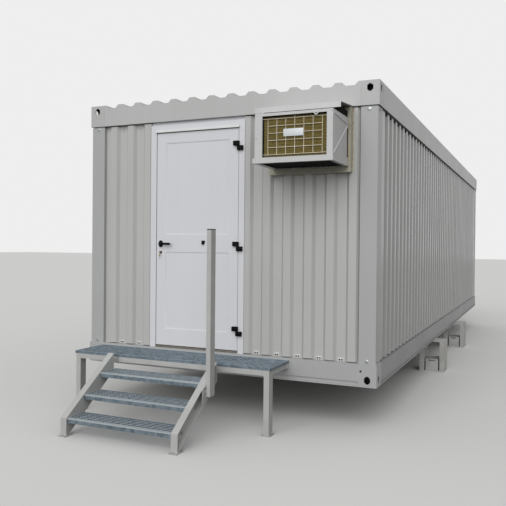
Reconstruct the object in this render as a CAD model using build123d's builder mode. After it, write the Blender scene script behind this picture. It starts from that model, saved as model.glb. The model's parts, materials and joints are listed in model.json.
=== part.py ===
from build123d import *
import math
import os

# Portable site cabin on four steel stools, with an entrance door, a landing with three
# treads and a window air conditioner. Millimetres. The origin is on the ground in the
# middle of the footprint: +X to the right and +Y to the rear as seen from the entrance,
# +Z up. Places on the front wall are given from the cabin's left edge ("across"), depths
# from its front face, and heights from the ground unless the name says otherwise.

# Whole cabin
CABIN_WIDTH = 3000.0
CABIN_LENGTH = 8830.0
CABIN_HEIGHT = 2622.0
STOOL_HEIGHT = 400.0

# Steel frame
CORNER_SIZE = 162.0
CORNER_WALL = 12.0
CORNER_HOLE_WIDTH = 54.0
CORNER_HOLE_HEIGHT = 68.0
CORNER_HOLE_FROM_BEARING = 60.0
CORNER_HOLE_CHAMFER = 18.0
BASE_RAIL_HEIGHT = 198.0
TOP_RAIL_HEIGHT = 212.0
RAIL_STEEL = 5.0
BASE_FLANGE = 60.0
BASE_GROOVE_HEIGHT = 45.0
BASE_GROOVE_DEPTH = 12.0
BASE_LIP_HEIGHT = 12.0
POST_INSET = 12.0
POST_STEEL = 4.0
SHADOW_GAP = 9.0

# Floor and ceiling
FLOOR_THICKNESS = 25.0
JOIST_WIDTH = 50.0
JOIST_STEEL = 3.0
JOIST_PITCH = 610.0
CEILING_THICKNESS = 60.0
CEILING_RISE = 10.0

# Walls of ribbed sheet on an insulated core
WALL_SETBACK = 18.0
RIB_DEPTH = 30.0
WALL_CORE = 50.0
JOINT_WIDTH = 11.0
JOINT_DEPTH = 15.0
FRONT_RIB_PITCH = 202.0
FRONT_RIB_CREST = 70.0
FRONT_RIB_SLOPE = 25.0
FRONT_LEFT_RIB_START = 225.0
FRONT_RIGHT_RIB_START = 1918.0
SIDE_RIB_PITCH = 178.0
SIDE_RIB_CREST = 62.0
SIDE_RIB_SLOPE = 32.0
SIDE_RIB_START = 397.0

# Roof sheet
ROOF_SHEET = 3.0
ROOF_RIB_HEIGHT = 32.0
ROOF_RIB_PITCH = 207.0
ROOF_RIB_CREST = 58.0
ROOF_RIB_SLOPE = 31.0

# Door
DOOR_FRAME_LEFT = 727.0
DOOR_FRAME_WIDTH = 1019.0
DOOR_STRIP_HEIGHT = 38.0
DOOR_FRAME_STILE = 64.0
DOOR_FRAME_HEAD = 69.0
DOOR_SILL_HEIGHT = 20.0
DOOR_FRAME_FACE = 8.0
DOOR_STOP = 15.0
DOOR_GAP = 6.0
DOOR_SET = 4.0
LEAF_THICKNESS = 46.0
GASKET_GAP = 5.0
LEAF_STILE = 99.0
LEAF_TOP_RAIL = 95.0
LEAF_BOTTOM_RAIL = 159.0
LEAF_MID_RAIL = 165.0
LEAF_MID_RAIL_HEIGHT = 1080.0
PANEL_RECESS = 6.0
HEAD_STRIP_DEPTH = 40.0

# Door hinges and lock
HINGE_BLOCK_WIDTH = 62.0
HINGE_BLOCK_HEIGHT = 43.0
HINGE_BLOCK_DEPTH = 20.0
HINGE_KNUCKLE = 13.0
HINGE_PIN_RADIUS = 5.0
PIN_CLEARANCE = 0.3
HINGE_SLIP = 1.0
HINGE_FROM_BOTTOM = 181.0
HINGE_MIDDLE = 972.0
HINGE_FROM_TOP = 164.0
LEVER_HEIGHT = 991.0
LEVER_BACKSET = 47.0
LEVER_LENGTH = 120.0
LEVER_THICKNESS = 20.0
LEVER_STANDOFF = 42.0
SPINDLE_RADIUS = 6.0
ROSETTE_RADIUS = 30.0
ROSETTE_THICKNESS = 8.0
CYLINDER_DROP = 83.0
CYLINDER_RADIUS = 14.0
KNOB_FROM_HINGE = 367.0
KNOB_RISE = 14.0
KNOB_RADIUS = 18.0
KNOB_LENGTH = 34.0

# Window air conditioner in its wall frame
AC_FROM_POST = 93.0
AC_WIDTH = 675.0
AC_HEIGHT = 407.0
AC_BELOW_RAIL = 110.0
AC_REACH = 492.0
AC_ROOM_REACH = 32.0
AC_STEEL = 4.0
AC_BEZEL_LEFT = 65.0
AC_BEZEL_RIGHT = 50.0
AC_BEZEL_BOTTOM = 41.0
AC_BEZEL_TOP = 24.0
AC_BEZEL_DEPTH = 16.0
AC_COIL_SET = 10.0
AC_COIL_DEPTH = 44.0
AC_FRAME_LEFT = 58.0
AC_FRAME_RIGHT = 20.0
AC_FRAME_BOTTOM = 51.0
AC_FRAME_PROUD = 40.0
AC_FRAME_HEAD_GAP = 6.0
AC_SKIRT = 30.0
AC_SLOT_SET = 66.0
AC_SLOT_WIDTH = 14.0
AC_SLOT_HEIGHT = 262.0
AC_PAN_HEIGHT = 38.0
AC_PAN_SIDE = 20.0
AC_PAN_RIM = 30.0
HOOD_REACH = 357.0
HOOD_DROP = 34.0
HOOD_LIP = 46.0
HOOD_SIDE = 5.0
HOOD_STEEL = 4.0
GRILLE_COLUMNS = 6
GRILLE_ROWS = 5
GRILLE_WIRE = 6.0
GRILLE_MARGIN = 41.0
GRILLE_END_GAP = 2.0
LOUVRE_COUNT = 7
LOUVRE_HEIGHT = 14.0

# Landing and stair
LANDING_LEFT = 165.0
LANDING_LENGTH = 2040.0
LANDING_DEPTH = 428.0
LANDING_BELOW_FLOOR = 20.0
LANDING_BEAM_WIDTH = 40.0
LANDING_BEAM_HEIGHT = 45.0
LANDING_BAYS = 4
GRATING_DEPTH = 25.0
GRATING_BAR = 4.0
GRATING_EDGE = 6.0
LANDING_BAR_PITCH = 40.0
TREAD_BAR_PITCH = 45.0
LEG_WIDTH = 50.0
LEG_DEPTH = 80.0
LEG_INSET = 12.0
TUBE_STEEL = 4.0
FOOT_PLATE = 8.0
FOOT_PLATE_MARGIN = 15.0
STAIR_FROM_LANDING_END = 447.0
STAIR_WIDTH = 1129.0
STAIR_GAP = 50.0
TREAD_COUNT = 3
TREAD_RISE = 152.0
TREAD_GOING = 221.0
TREAD_DEPTH = 228.0
TREAD_HEIGHT = 40.0
STRINGER_FLANGE = 60.0
STRINGER_STEEL = 6.0
STRINGER_DROP = 160.0
STRINGER_NOSE = 8.0
STRINGER_LIFT = 7.0
STRINGER_TOP_GAP = 79.0
LUG_STEEL = 8.0
LUG_HEIGHT = 40.0
TOE_REACH = 30.0
TOE_LENGTH = 110.0
TOE_MARGIN = 8.0
HANDRAIL_WIDTH = 40.0
HANDRAIL_DEPTH = 80.0
HANDRAIL_BELOW_LANDING = 226.0
HANDRAIL_ABOVE_LANDING = 1153.0
HANDRAIL_FROM_LANDING = 290.0
HANDRAIL_CAP = 6.0
HANDRAIL_PLATE = 6.0
HANDRAIL_PLATE_FRONT = 53.0
HANDRAIL_PLATE_REAR = 38.0

# Support stools
STOOL_SPREAD = 2280.0
STOOL_WIDTH = 310.0
STOOL_DEPTH = 270.0
STOOL_PROUD = 140.0
STOOL_PLATE = 12.0
STOOL_LEG = 60.0
STOOL_STEEL = 6.0
STOOL_BOX_WIDTH = 157.0
STOOL_BOX_HEIGHT = 165.0
STOOL_SLOT_WIDTH = 78.0
STOOL_SLOT_HEIGHT = 18.0
STOOL_SLOT_RISE = 145.0

# Worked out from the sizes above
stair_run = LANDING_DEPTH + STAIR_GAP + TREAD_DEPTH + (TREAD_COUNT - 1) * TREAD_GOING
stair_reach = stair_run + STRINGER_NOSE + TOE_REACH
front = (stair_reach - CABIN_LENGTH) / 2
left = -CABIN_WIDTH / 2
rear = front + CABIN_LENGTH
right = left + CABIN_WIDTH
base_top = STOOL_HEIGHT + BASE_RAIL_HEIGHT
cabin_top = STOOL_HEIGHT + CABIN_HEIGHT
rail_bottom = cabin_top - TOP_RAIL_HEIGHT
wall_inner = WALL_SETBACK + RIB_DEPTH + WALL_CORE
valley = WALL_SETBACK + RIB_DEPTH
post_size = CORNER_SIZE - POST_INSET
roof_seat = cabin_top - ROOF_RIB_HEIGHT - ROOF_SHEET


def slab(x, y, z, mode=Mode.ADD):
    """Add or cut a straight block between two x, two y and two z places."""
    with Locations(((x[0] + x[1]) / 2, (y[0] + y[1]) / 2, (z[0] + z[1]) / 2)):
        Box(x[1] - x[0], y[1] - y[0], z[1] - z[0], mode=mode)


def prism(points, plane, length, mode=Mode.ADD):
    """Extrude a closed outline of straight lines from its plane."""
    with BuildSketch(plane) as outline:
        with BuildLine():
            Polyline(*points, close=True)
        make_face()
    extrude(outline.sketch, amount=length, mode=mode)


def folded(points, thickness, plane, length):
    """Extrude a folded sheet whose outer face follows the points, steel on their left."""
    with BuildSketch(plane) as section:
        with BuildLine():
            outer = Polyline(*points)
            offset(outer, amount=thickness, side=Side.LEFT, closed=True, kind=Kind.INTERSECTION)
        make_face()
    extrude(section.sketch, amount=length)


def tube(x, y, z, steel):
    """Add a square-cornered tube that runs upwards between two heights."""
    with BuildSketch(Plane.XY.offset(z[0])) as section:
        with Locations(((x[0] + x[1]) / 2, (y[0] + y[1]) / 2)):
            Rectangle(x[1] - x[0], y[1] - y[0])
            Rectangle(x[1] - x[0] - 2 * steel, y[1] - y[0] - 2 * steel, mode=Mode.SUBTRACT)
    extrude(section.sketch, amount=z[1] - z[0])


def save(part, name):
    """Label a finished piece and write it as one STEP file."""
    part.label = name
    export_step(part, f"parts/{name}.step")


def rib_depth(place, start, pitch, crest, slope, depth):
    """Depth of a ribbed sheet behind its crests; a rising slope is centred on start."""
    along = (place - start + slope / 2) % pitch
    if along < slope:
        return depth * (1 - along / slope)
    if along < slope + crest:
        return 0.0
    if along < 2 * slope + crest:
        return depth * (along - slope - crest) / slope
    return depth


def rib_corners(low, high, start, pitch, crest, slope, depth):
    """Corner points (place, depth) of a ribbed sheet between two places across its ribs."""
    corners = [(low, rib_depth(low, start, pitch, crest, slope, depth))]
    turns = (-slope / 2, slope / 2, slope / 2 + crest, 3 * slope / 2 + crest)
    first = math.floor((low - start) / pitch) - 1
    last = math.ceil((high - start) / pitch) + 1
    for number in range(first, last + 1):
        for turn in turns:
            place = start + number * pitch + turn
            if low + 1 < place < high - 1:
                corners.append((place, 0.0 if turn in turns[1:3] else depth))
    corners.append((high, rib_depth(high, start, pitch, crest, slope, depth)))
    return corners


def wall_outline(low, high, sheet, joints):
    """Outline (place, depth) of a wall seen from above: ribbed face, joints and inner face."""
    low_joint = JOINT_WIDTH if joints[0] else 0.0
    high_joint = JOINT_WIDTH if joints[1] else 0.0
    face = [(place, WALL_SETBACK + depth) for place, depth in sheet(low + low_joint, high - high_joint)]
    outline = [(low, wall_inner)]
    if joints[0]:
        outline += [(low, valley + JOINT_DEPTH), (low + low_joint, valley + JOINT_DEPTH)]
    outline += face
    if joints[1]:
        outline += [(high - high_joint, valley + JOINT_DEPTH), (high, valley + JOINT_DEPTH)]
    outline.append((high, wall_inner))
    return outline


def end_wall_sheet(low, high, start):
    """Ribbed face of a front or rear wall, with a rising slope centred on start."""
    return rib_corners(
        low, high, start, FRONT_RIB_PITCH, FRONT_RIB_CREST, FRONT_RIB_SLOPE, RIB_DEPTH
    )


def front_left_sheet(low, high):
    """Ribbed face between the left post and the door."""
    return end_wall_sheet(low, high, FRONT_LEFT_RIB_START)


def front_right_sheet(low, high):
    """Ribbed face between the door and the right post."""
    return end_wall_sheet(low, high, FRONT_RIGHT_RIB_START)


def side_sheet(low, high):
    """Ribbed face of a long side, with a flat edge strip at each post."""
    ribs_from = SIDE_RIB_START - SIDE_RIB_PITCH + SIDE_RIB_SLOPE / 2
    bays = math.floor((high - JOINT_WIDTH - ribs_from - SIDE_RIB_CREST) / SIDE_RIB_PITCH)
    ribs_to = ribs_from + bays * SIDE_RIB_PITCH + SIDE_RIB_CREST
    ribs = rib_corners(
        ribs_from, ribs_to, SIDE_RIB_START, SIDE_RIB_PITCH, SIDE_RIB_CREST, SIDE_RIB_SLOPE, RIB_DEPTH
    )
    return [(low, 0.0)] + ribs[1:-1] + [(high, 0.0)]


def rear_sheet(low, high):
    """Ribbed face of the rear wall, set out from its middle."""
    return end_wall_sheet(low, high, (CABIN_WIDTH - FRONT_RIB_SLOPE - FRONT_RIB_CREST) / 2)


os.makedirs("parts", exist_ok=True)

# Corner blocks: hollow, with a long hole in the end, side and bearing face
block_places = [
    (x, y)
    for x in (left, right - CORNER_SIZE)
    for y in (front, rear - CORNER_SIZE)
]


def corner_hole(plane, place):
    """Cut a long hole with chamfered corners through a block's wall, centred on a place."""
    with BuildSketch(plane) as hole:
        with Locations(place):
            Rectangle(CORNER_HOLE_WIDTH, CORNER_HOLE_HEIGHT)
        chamfer(hole.vertices(), length=CORNER_HOLE_CHAMFER)
    extrude(hole.sketch, amount=1.5 * CORNER_WALL, both=True, mode=Mode.SUBTRACT)


def corner_block(x, y, z, height, bearing_z):
    """Add one hollow corner block with its long holes; the bearing face is at bearing_z."""
    slab((x, x + CORNER_SIZE), (y, y + CORNER_SIZE), (z, z + height))
    inner = CORNER_WALL
    slab(
        (x + inner, x + CORNER_SIZE - inner),
        (y + inner, y + CORNER_SIZE - inner),
        (z + inner, z + height - inner),
        Mode.SUBTRACT,
    )
    middle_x = x + CORNER_SIZE / 2
    middle_y = y + CORNER_SIZE / 2
    inward = 1 if bearing_z < z + height / 2 else -1
    hole_z = bearing_z + inward * CORNER_HOLE_FROM_BEARING
    end_y = front if middle_y < (front + rear) / 2 else rear
    side_x = left if middle_x < 0 else right
    corner_hole(Plane.XZ.offset(-end_y), (middle_x, hole_z))
    corner_hole(Plane.YZ.offset(side_x), (middle_y, hole_z))
    corner_hole(Plane.XY.offset(bearing_z), (middle_x, middle_y))


with BuildPart() as lower_corner_blocks:
    for x, y in block_places:
        corner_block(x, y, STOOL_HEIGHT, BASE_RAIL_HEIGHT, STOOL_HEIGHT)
save(lower_corner_blocks.part, "lower_corner_blocks")

with BuildPart() as upper_corner_blocks:
    for x, y in block_places:
        corner_block(x, y, rail_bottom, TOP_RAIL_HEIGHT, cabin_top)
save(upper_corner_blocks.part, "upper_corner_blocks")

# Base rails: folded channels, open inwards, with a groove above the bottom lip.
# The section is drawn as (depth from the outer face, height above the underside).
base_section = [
    (CORNER_SIZE, 0),
    (0, 0),
    (0, BASE_LIP_HEIGHT),
    (BASE_GROOVE_DEPTH, BASE_LIP_HEIGHT),
    (BASE_GROOVE_DEPTH, BASE_GROOVE_HEIGHT),
    (0, BASE_GROOVE_HEIGHT),
    (0, BASE_RAIL_HEIGHT),
    (BASE_FLANGE, BASE_RAIL_HEIGHT),
    (BASE_FLANGE, BASE_RAIL_HEIGHT - RAIL_STEEL),
    (RAIL_STEEL, BASE_RAIL_HEIGHT - RAIL_STEEL),
    (RAIL_STEEL, BASE_GROOVE_HEIGHT + RAIL_STEEL),
    (BASE_GROOVE_DEPTH + RAIL_STEEL, BASE_GROOVE_HEIGHT + RAIL_STEEL),
    (BASE_GROOVE_DEPTH + RAIL_STEEL, RAIL_STEEL),
    (CORNER_SIZE, RAIL_STEEL),
]
cross_rail_length = CABIN_WIDTH - 2 * CORNER_SIZE
side_rail_length = CABIN_LENGTH - 2 * CORNER_SIZE

with BuildPart() as base_rail_front:
    section = [(front + depth, STOOL_HEIGHT + height) for depth, height in base_section]
    prism(section, Plane.YZ.offset(left + CORNER_SIZE), cross_rail_length)
save(base_rail_front.part, "base_rail_front")

with BuildPart() as base_rail_rear:
    section = [(rear - depth, STOOL_HEIGHT + height) for depth, height in base_section]
    prism(section, Plane.YZ.offset(left + CORNER_SIZE), cross_rail_length)
save(base_rail_rear.part, "base_rail_rear")

with BuildPart() as base_rail_left:
    section = [(left + depth, STOOL_HEIGHT + height) for depth, height in base_section]
    prism(section, Plane.XZ.offset(-(rear - CORNER_SIZE)), side_rail_length)
save(base_rail_left.part, "base_rail_left")

with BuildPart() as base_rail_right:
    section = [(right - depth, STOOL_HEIGHT + height) for depth, height in base_section]
    prism(section, Plane.XZ.offset(-(rear - CORNER_SIZE)), side_rail_length)
save(base_rail_right.part, "base_rail_right")

# Floor: channel joists between the side rails, and the deck flush with the rail tops
joist_top = base_top - FLOOR_THICKNESS
joist_bottom = STOOL_HEIGHT + RAIL_STEEL
joist_reach = BASE_GROOVE_DEPTH + RAIL_STEEL
joist_room = side_rail_length - 2 * JOIST_WIDTH
joist_bays = max(1, round(joist_room / JOIST_PITCH))

with BuildPart() as floor_joists:
    for number in range(joist_bays + 1):
        y = front + CORNER_SIZE + number * (side_rail_length - JOIST_WIDTH) / joist_bays
        folded(
            [
                (y + JOIST_WIDTH, joist_bottom),
                (y, joist_bottom),
                (y, joist_top),
                (y + JOIST_WIDTH, joist_top),
            ][::-1],
            JOIST_STEEL,
            Plane.YZ.offset(left + joist_reach),
            CABIN_WIDTH - 2 * joist_reach,
        )
save(floor_joists.part, "floor_joists")

with BuildPart() as floor_deck:
    slab(
        (left + BASE_FLANGE, right - BASE_FLANGE),
        (front + CORNER_SIZE, rear - CORNER_SIZE),
        (joist_top, base_top),
    )
    slab(
        (left + CORNER_SIZE, right - CORNER_SIZE),
        (front + BASE_FLANGE, rear - BASE_FLANGE),
        (joist_top, base_top),
    )
save(floor_deck.part, "floor_deck")

# Corner posts: square tubes with a shadow gap under the top blocks
post_names = {
    "corner_post_front_left": (left + POST_INSET, front + POST_INSET),
    "corner_post_front_right": (right - CORNER_SIZE, front + POST_INSET),
    "corner_post_rear_left": (left + POST_INSET, rear - CORNER_SIZE),
    "corner_post_rear_right": (right - CORNER_SIZE, rear - CORNER_SIZE),
}
for name, (x, y) in post_names.items():
    with BuildPart() as corner_post:
        tube((x, x + post_size), (y, y + post_size), (base_top, rail_bottom - SHADOW_GAP), POST_STEEL)
        neck = POST_STEEL / 2 + SHADOW_GAP
        slab(
            (x + neck, x + post_size - neck),
            (y + neck, y + post_size - neck),
            (rail_bottom - SHADOW_GAP - POST_STEEL, rail_bottom),
        )
        slab(
            (x + POST_STEEL / 2, x + post_size - POST_STEEL / 2),
            (y + POST_STEEL / 2, y + post_size - POST_STEEL / 2),
            (rail_bottom - SHADOW_GAP - POST_STEEL, rail_bottom - SHADOW_GAP),
        )
    save(corner_post.part, name)

# Top rails: hollow; each end rail carries a fascia that closes the roof sheet's ribs
roof_left = left + CORNER_SIZE
roof_right = right - CORNER_SIZE
roof_start = (ROOF_RIB_PITCH - ROOF_RIB_CREST - ROOF_RIB_SLOPE) / 2


def roof_profile(height):
    """Corner points of the roof sheet's ribs across the cabin, at a base height."""
    ribs = rib_corners(
        roof_left, roof_right, roof_start, ROOF_RIB_PITCH, ROOF_RIB_CREST, ROOF_RIB_SLOPE, ROOF_RIB_HEIGHT
    )
    return [(x, height + ROOF_RIB_HEIGHT - depth) for x, depth in ribs]


def end_rail(outer_y, inner_y):
    """Add an end rail: a hollow beam under the sheet and a fascia closing its ribs."""
    low_y, high_y = sorted((outer_y, inner_y))
    slab((roof_left, roof_right), (low_y, high_y), (rail_bottom, roof_seat))
    slab(
        (roof_left, roof_right),
        (low_y + RAIL_STEEL, high_y - RAIL_STEEL),
        (rail_bottom + RAIL_STEEL, roof_seat - RAIL_STEEL),
        Mode.SUBTRACT,
    )
    fascia_foot = roof_seat - RAIL_STEEL
    fascia = [(roof_left, fascia_foot)] + roof_profile(roof_seat) + [(roof_right, fascia_foot)]
    fascia_y = outer_y + RAIL_STEEL if outer_y < inner_y else outer_y
    prism(fascia, Plane.XZ.offset(-fascia_y), RAIL_STEEL)


with BuildPart() as top_rail_front:
    end_rail(front, front + CORNER_SIZE)
save(top_rail_front.part, "top_rail_front")

with BuildPart() as top_rail_rear:
    end_rail(rear, rear - CORNER_SIZE)
save(top_rail_rear.part, "top_rail_rear")

for name, x in {"top_rail_left": left, "top_rail_right": right - CORNER_SIZE}.items():
    with BuildPart() as top_rail_side:
        with BuildSketch(Plane.XZ.offset(-(rear - CORNER_SIZE))) as section:
            with Locations((x + CORNER_SIZE / 2, (rail_bottom + cabin_top) / 2)):
                Rectangle(CORNER_SIZE, TOP_RAIL_HEIGHT)
                Rectangle(
                    CORNER_SIZE - 2 * RAIL_STEEL, TOP_RAIL_HEIGHT - 2 * RAIL_STEEL, mode=Mode.SUBTRACT
                )
        extrude(section.sketch, amount=side_rail_length)
    save(top_rail_side.part, name)

# Roof sheet: one ribbed sheet from the front face to the rear face
with BuildPart() as roof_sheet:
    lower = roof_profile(roof_seat)
    upper = [(x, z + ROOF_SHEET) for x, z in roof_profile(roof_seat)]
    prism(lower + upper[::-1], Plane.XZ.offset(-rear), CABIN_LENGTH)
save(roof_sheet.part, "roof_sheet")

# Ceiling: one insulated panel between the top rails
with BuildPart() as ceiling_panel:
    slab(
        (left + CORNER_SIZE, right - CORNER_SIZE),
        (front + CORNER_SIZE, rear - CORNER_SIZE),
        (rail_bottom + CEILING_RISE, rail_bottom + CEILING_RISE + CEILING_THICKNESS),
    )
save(ceiling_panel.part, "ceiling_panel")

# Front wall, in two panels beside the door. Outlines are (across, depth) from the
# cabin's left edge and front face.
wall_height = rail_bottom - base_top
joint_back = valley + JOINT_DEPTH
head_cut = (rail_bottom - SHADOW_GAP, rail_bottom + 1)
foot_cut = (base_top - 1, base_top + SHADOW_GAP)


def to_front(outline):
    """Plan points of an outline measured from the front left corner."""
    return [(left + place, front + depth) for place, depth in outline]


def trim_front(low, high):
    """Cut the sheet clear of the rails above and below, so that a shadow line shows."""
    x = (left + low - 1, left + high + 1)
    slab(x, (front, front + joint_back), head_cut, Mode.SUBTRACT)
    slab(x, (front, front + valley), foot_cut, Mode.SUBTRACT)


door_right = DOOR_FRAME_LEFT + DOOR_FRAME_WIDTH
wall_right_end = CABIN_WIDTH - CORNER_SIZE

with BuildPart() as front_wall_left:
    outline = wall_outline(CORNER_SIZE, DOOR_FRAME_LEFT, front_left_sheet, (False, False))
    prism(to_front(outline), Plane.XY.offset(base_top), wall_height)
    trim_front(CORNER_SIZE, DOOR_FRAME_LEFT)
save(front_wall_left.part, "front_wall_left")

ac_top = rail_bottom - AC_BELOW_RAIL
ac_bottom = ac_top - AC_HEIGHT
ac_right = right - CORNER_SIZE - AC_FROM_POST
ac_x = (ac_right - AC_WIDTH, ac_right)
ac_z = (ac_bottom, ac_top)
ac_frame_low = ac_bottom - AC_FRAME_BOTTOM
ac_frame_x = (ac_x[0] - AC_FRAME_LEFT, ac_x[1] + AC_FRAME_RIGHT)

with BuildPart() as front_wall_right:
    outline = wall_outline(door_right, wall_right_end, front_right_sheet, (False, True))
    prism(to_front(outline), Plane.XY.offset(base_top), wall_height)
    trim_front(door_right, wall_right_end)
    ac_frame_y = (front, front + wall_inner + 1)
    slab(ac_frame_x, ac_frame_y, (ac_frame_low, rail_bottom + 1), Mode.SUBTRACT)
save(front_wall_right.part, "front_wall_right")

frame_head = rail_bottom - DOOR_STRIP_HEIGHT
with BuildPart() as door_head_strip:
    slab(
        (left + DOOR_FRAME_LEFT, left + door_right),
        (front + HEAD_STRIP_DEPTH, front + wall_inner),
        (frame_head, rail_bottom),
    )
save(door_head_strip.part, "door_head_strip")

# Long side walls and rear wall
side_outline = wall_outline(CORNER_SIZE, CABIN_LENGTH - CORNER_SIZE, side_sheet, (True, True))
rear_outline = wall_outline(CORNER_SIZE, CABIN_WIDTH - CORNER_SIZE, rear_sheet, (True, True))

with BuildPart() as side_wall_left:
    outline = [(left + depth, front + place) for place, depth in side_outline]
    prism(outline, Plane.XY.offset(base_top), wall_height)
    slab((left, left + joint_back), (front, rear), head_cut, Mode.SUBTRACT)
    slab((left, left + valley), (front, rear), foot_cut, Mode.SUBTRACT)
save(side_wall_left.part, "side_wall_left")

with BuildPart() as side_wall_right:
    outline = [(right - depth, front + place) for place, depth in side_outline]
    prism(outline, Plane.XY.offset(base_top), wall_height)
    slab((right - joint_back, right), (front, rear), head_cut, Mode.SUBTRACT)
    slab((right - valley, right), (front, rear), foot_cut, Mode.SUBTRACT)
save(side_wall_right.part, "side_wall_right")

with BuildPart() as rear_wall:
    outline = [(left + place, rear - depth) for place, depth in rear_outline]
    prism(outline, Plane.XY.offset(base_top), wall_height)
    slab((left, right), (rear - joint_back, rear), head_cut, Mode.SUBTRACT)
    slab((left, right), (rear - valley, rear), foot_cut, Mode.SUBTRACT)
save(rear_wall.part, "rear_wall")

# Door frame: a rebate for the leaf and a stop behind it, all round
frame_x = (left + DOOR_FRAME_LEFT, left + door_right)
rebate_x = (frame_x[0] + DOOR_FRAME_STILE, frame_x[1] - DOOR_FRAME_STILE + DOOR_GAP)
rebate_z = (base_top + DOOR_SILL_HEIGHT, frame_head - DOOR_FRAME_HEAD)
leaf_x = (rebate_x[0] + DOOR_GAP, rebate_x[1] - DOOR_GAP)
leaf_z = (rebate_z[0] + DOOR_GAP, rebate_z[1] - DOOR_GAP)
leaf_front = front + DOOR_FRAME_FACE + DOOR_SET
leaf_back = leaf_front + LEAF_THICKNESS
stop_face = leaf_back + GASKET_GAP

with BuildPart() as door_frame:
    slab(frame_x, (front + DOOR_FRAME_FACE, front + wall_inner), (base_top, frame_head))
    slab(rebate_x, (front, stop_face), rebate_z, Mode.SUBTRACT)
    slab(
        (rebate_x[0] + DOOR_STOP, rebate_x[1] - DOOR_STOP),
        (front, front + wall_inner + 1),
        (rebate_z[0] + DOOR_STOP, rebate_z[1] - DOOR_STOP),
        Mode.SUBTRACT,
    )
save(door_frame.part, "door_frame")

# Door leaf: two sunk panels on each face, and the bore for the lever's spindle
lever_x = leaf_x[0] + LEVER_BACKSET
lever_z = leaf_z[0] + LEVER_HEIGHT
mid_rail_z = (leaf_z[0] + LEAF_MID_RAIL_HEIGHT - LEAF_MID_RAIL, leaf_z[0] + LEAF_MID_RAIL_HEIGHT)
panel_x = (leaf_x[0] + LEAF_STILE, leaf_x[1] - LEAF_STILE)
panel_heights = (
    (leaf_z[0] + LEAF_BOTTOM_RAIL, mid_rail_z[0]),
    (mid_rail_z[1], leaf_z[1] - LEAF_TOP_RAIL),
)

with BuildPart() as door_leaf:
    slab(leaf_x, (leaf_front, leaf_back), leaf_z)
    for panel_z in panel_heights:
        slab(panel_x, (leaf_front - 1, leaf_front + PANEL_RECESS), panel_z, Mode.SUBTRACT)
        slab(panel_x, (leaf_back - PANEL_RECESS, leaf_back + 1), panel_z, Mode.SUBTRACT)
    with BuildSketch(Plane.XZ.offset(-leaf_back)) as spindle_bore:
        with Locations((lever_x, lever_z)):
            Circle(SPINDLE_RADIUS + PIN_CLEARANCE)
    extrude(spindle_bore.sketch, amount=LEAF_THICKNESS, mode=Mode.SUBTRACT)
save(door_leaf.part, "door_leaf")

# Hinges: a block on the leaf above a block on the frame, joined by a pin
hinge_heights = (
    leaf_z[0] + HINGE_FROM_BOTTOM,
    leaf_z[0] + HINGE_MIDDLE,
    leaf_z[1] - HINGE_FROM_TOP,
)
pivot_x = (leaf_x[1] + rebate_x[1]) / 2
frame_block_face = front + DOOR_FRAME_FACE
pivot_y = frame_block_face - HINGE_BLOCK_DEPTH / 2 - DOOR_SET

with BuildPart() as hinge_leaf_blocks:
    for z in hinge_heights:
        with BuildSketch(Plane.XY.offset(z + HINGE_SLIP)) as knuckle:
            with Locations((pivot_x, pivot_y)):
                Circle(HINGE_KNUCKLE)
            with BuildLine():
                Polyline(
                    (pivot_x, pivot_y - HINGE_KNUCKLE),
                    (pivot_x, leaf_front - DOOR_SET / 2),
                    (leaf_x[1], leaf_front),
                    (pivot_x + HINGE_KNUCKLE - HINGE_BLOCK_WIDTH, leaf_front),
                    (pivot_x + HINGE_KNUCKLE - HINGE_BLOCK_WIDTH, pivot_y - HINGE_KNUCKLE),
                    close=True,
                )
            make_face()
            with Locations((pivot_x, pivot_y)):
                Circle(HINGE_PIN_RADIUS + PIN_CLEARANCE, mode=Mode.SUBTRACT)
        extrude(knuckle.sketch, amount=HINGE_BLOCK_HEIGHT)
save(hinge_leaf_blocks.part, "hinge_leaf_blocks")

with BuildPart() as hinge_frame_blocks:
    for z in hinge_heights:
        with BuildSketch(Plane.XY.offset(z - HINGE_BLOCK_HEIGHT)) as knuckle:
            with Locations((pivot_x, pivot_y)):
                Circle(HINGE_KNUCKLE)
            with BuildLine():
                Polyline(
                    (pivot_x, pivot_y - HINGE_KNUCKLE),
                    (pivot_x, frame_block_face - DOOR_SET / 2),
                    (rebate_x[1], frame_block_face),
                    (pivot_x - HINGE_KNUCKLE + HINGE_BLOCK_WIDTH, frame_block_face),
                    (pivot_x - HINGE_KNUCKLE + HINGE_BLOCK_WIDTH, pivot_y - HINGE_KNUCKLE),
                    close=True,
                )
            make_face()
        extrude(knuckle.sketch, amount=HINGE_BLOCK_HEIGHT)
        with BuildSketch(Plane.XY.offset(z)) as pin:
            with Locations((pivot_x, pivot_y)):
                Circle(HINGE_PIN_RADIUS)
        extrude(pin.sketch, amount=HINGE_SLIP + HINGE_BLOCK_HEIGHT)
save(hinge_frame_blocks.part, "hinge_frame_blocks")

# Lock: rosettes and cylinder on the leaf, with a small fixed knob
with BuildPart() as lock_fittings:
    for face, outward in ((leaf_front, 1), (leaf_back, -1)):
        with BuildSketch(Plane.XZ.offset(-face)) as rosette:
            with Locations((lever_x, lever_z)):
                Circle(ROSETTE_RADIUS)
                Circle(SPINDLE_RADIUS + PIN_CLEARANCE, mode=Mode.SUBTRACT)
            with Locations((lever_x, lever_z - CYLINDER_DROP)):
                Circle(CYLINDER_RADIUS)
        extrude(rosette.sketch, amount=outward * ROSETTE_THICKNESS)
    with BuildSketch(Plane.XZ.offset(-leaf_front)) as knob:
        with Locations((pivot_x - KNOB_FROM_HINGE, lever_z + KNOB_RISE)):
            Circle(KNOB_RADIUS)
    extrude(knob.sketch, amount=KNOB_LENGTH)
save(lock_fittings.part, "lock_fittings")

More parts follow.
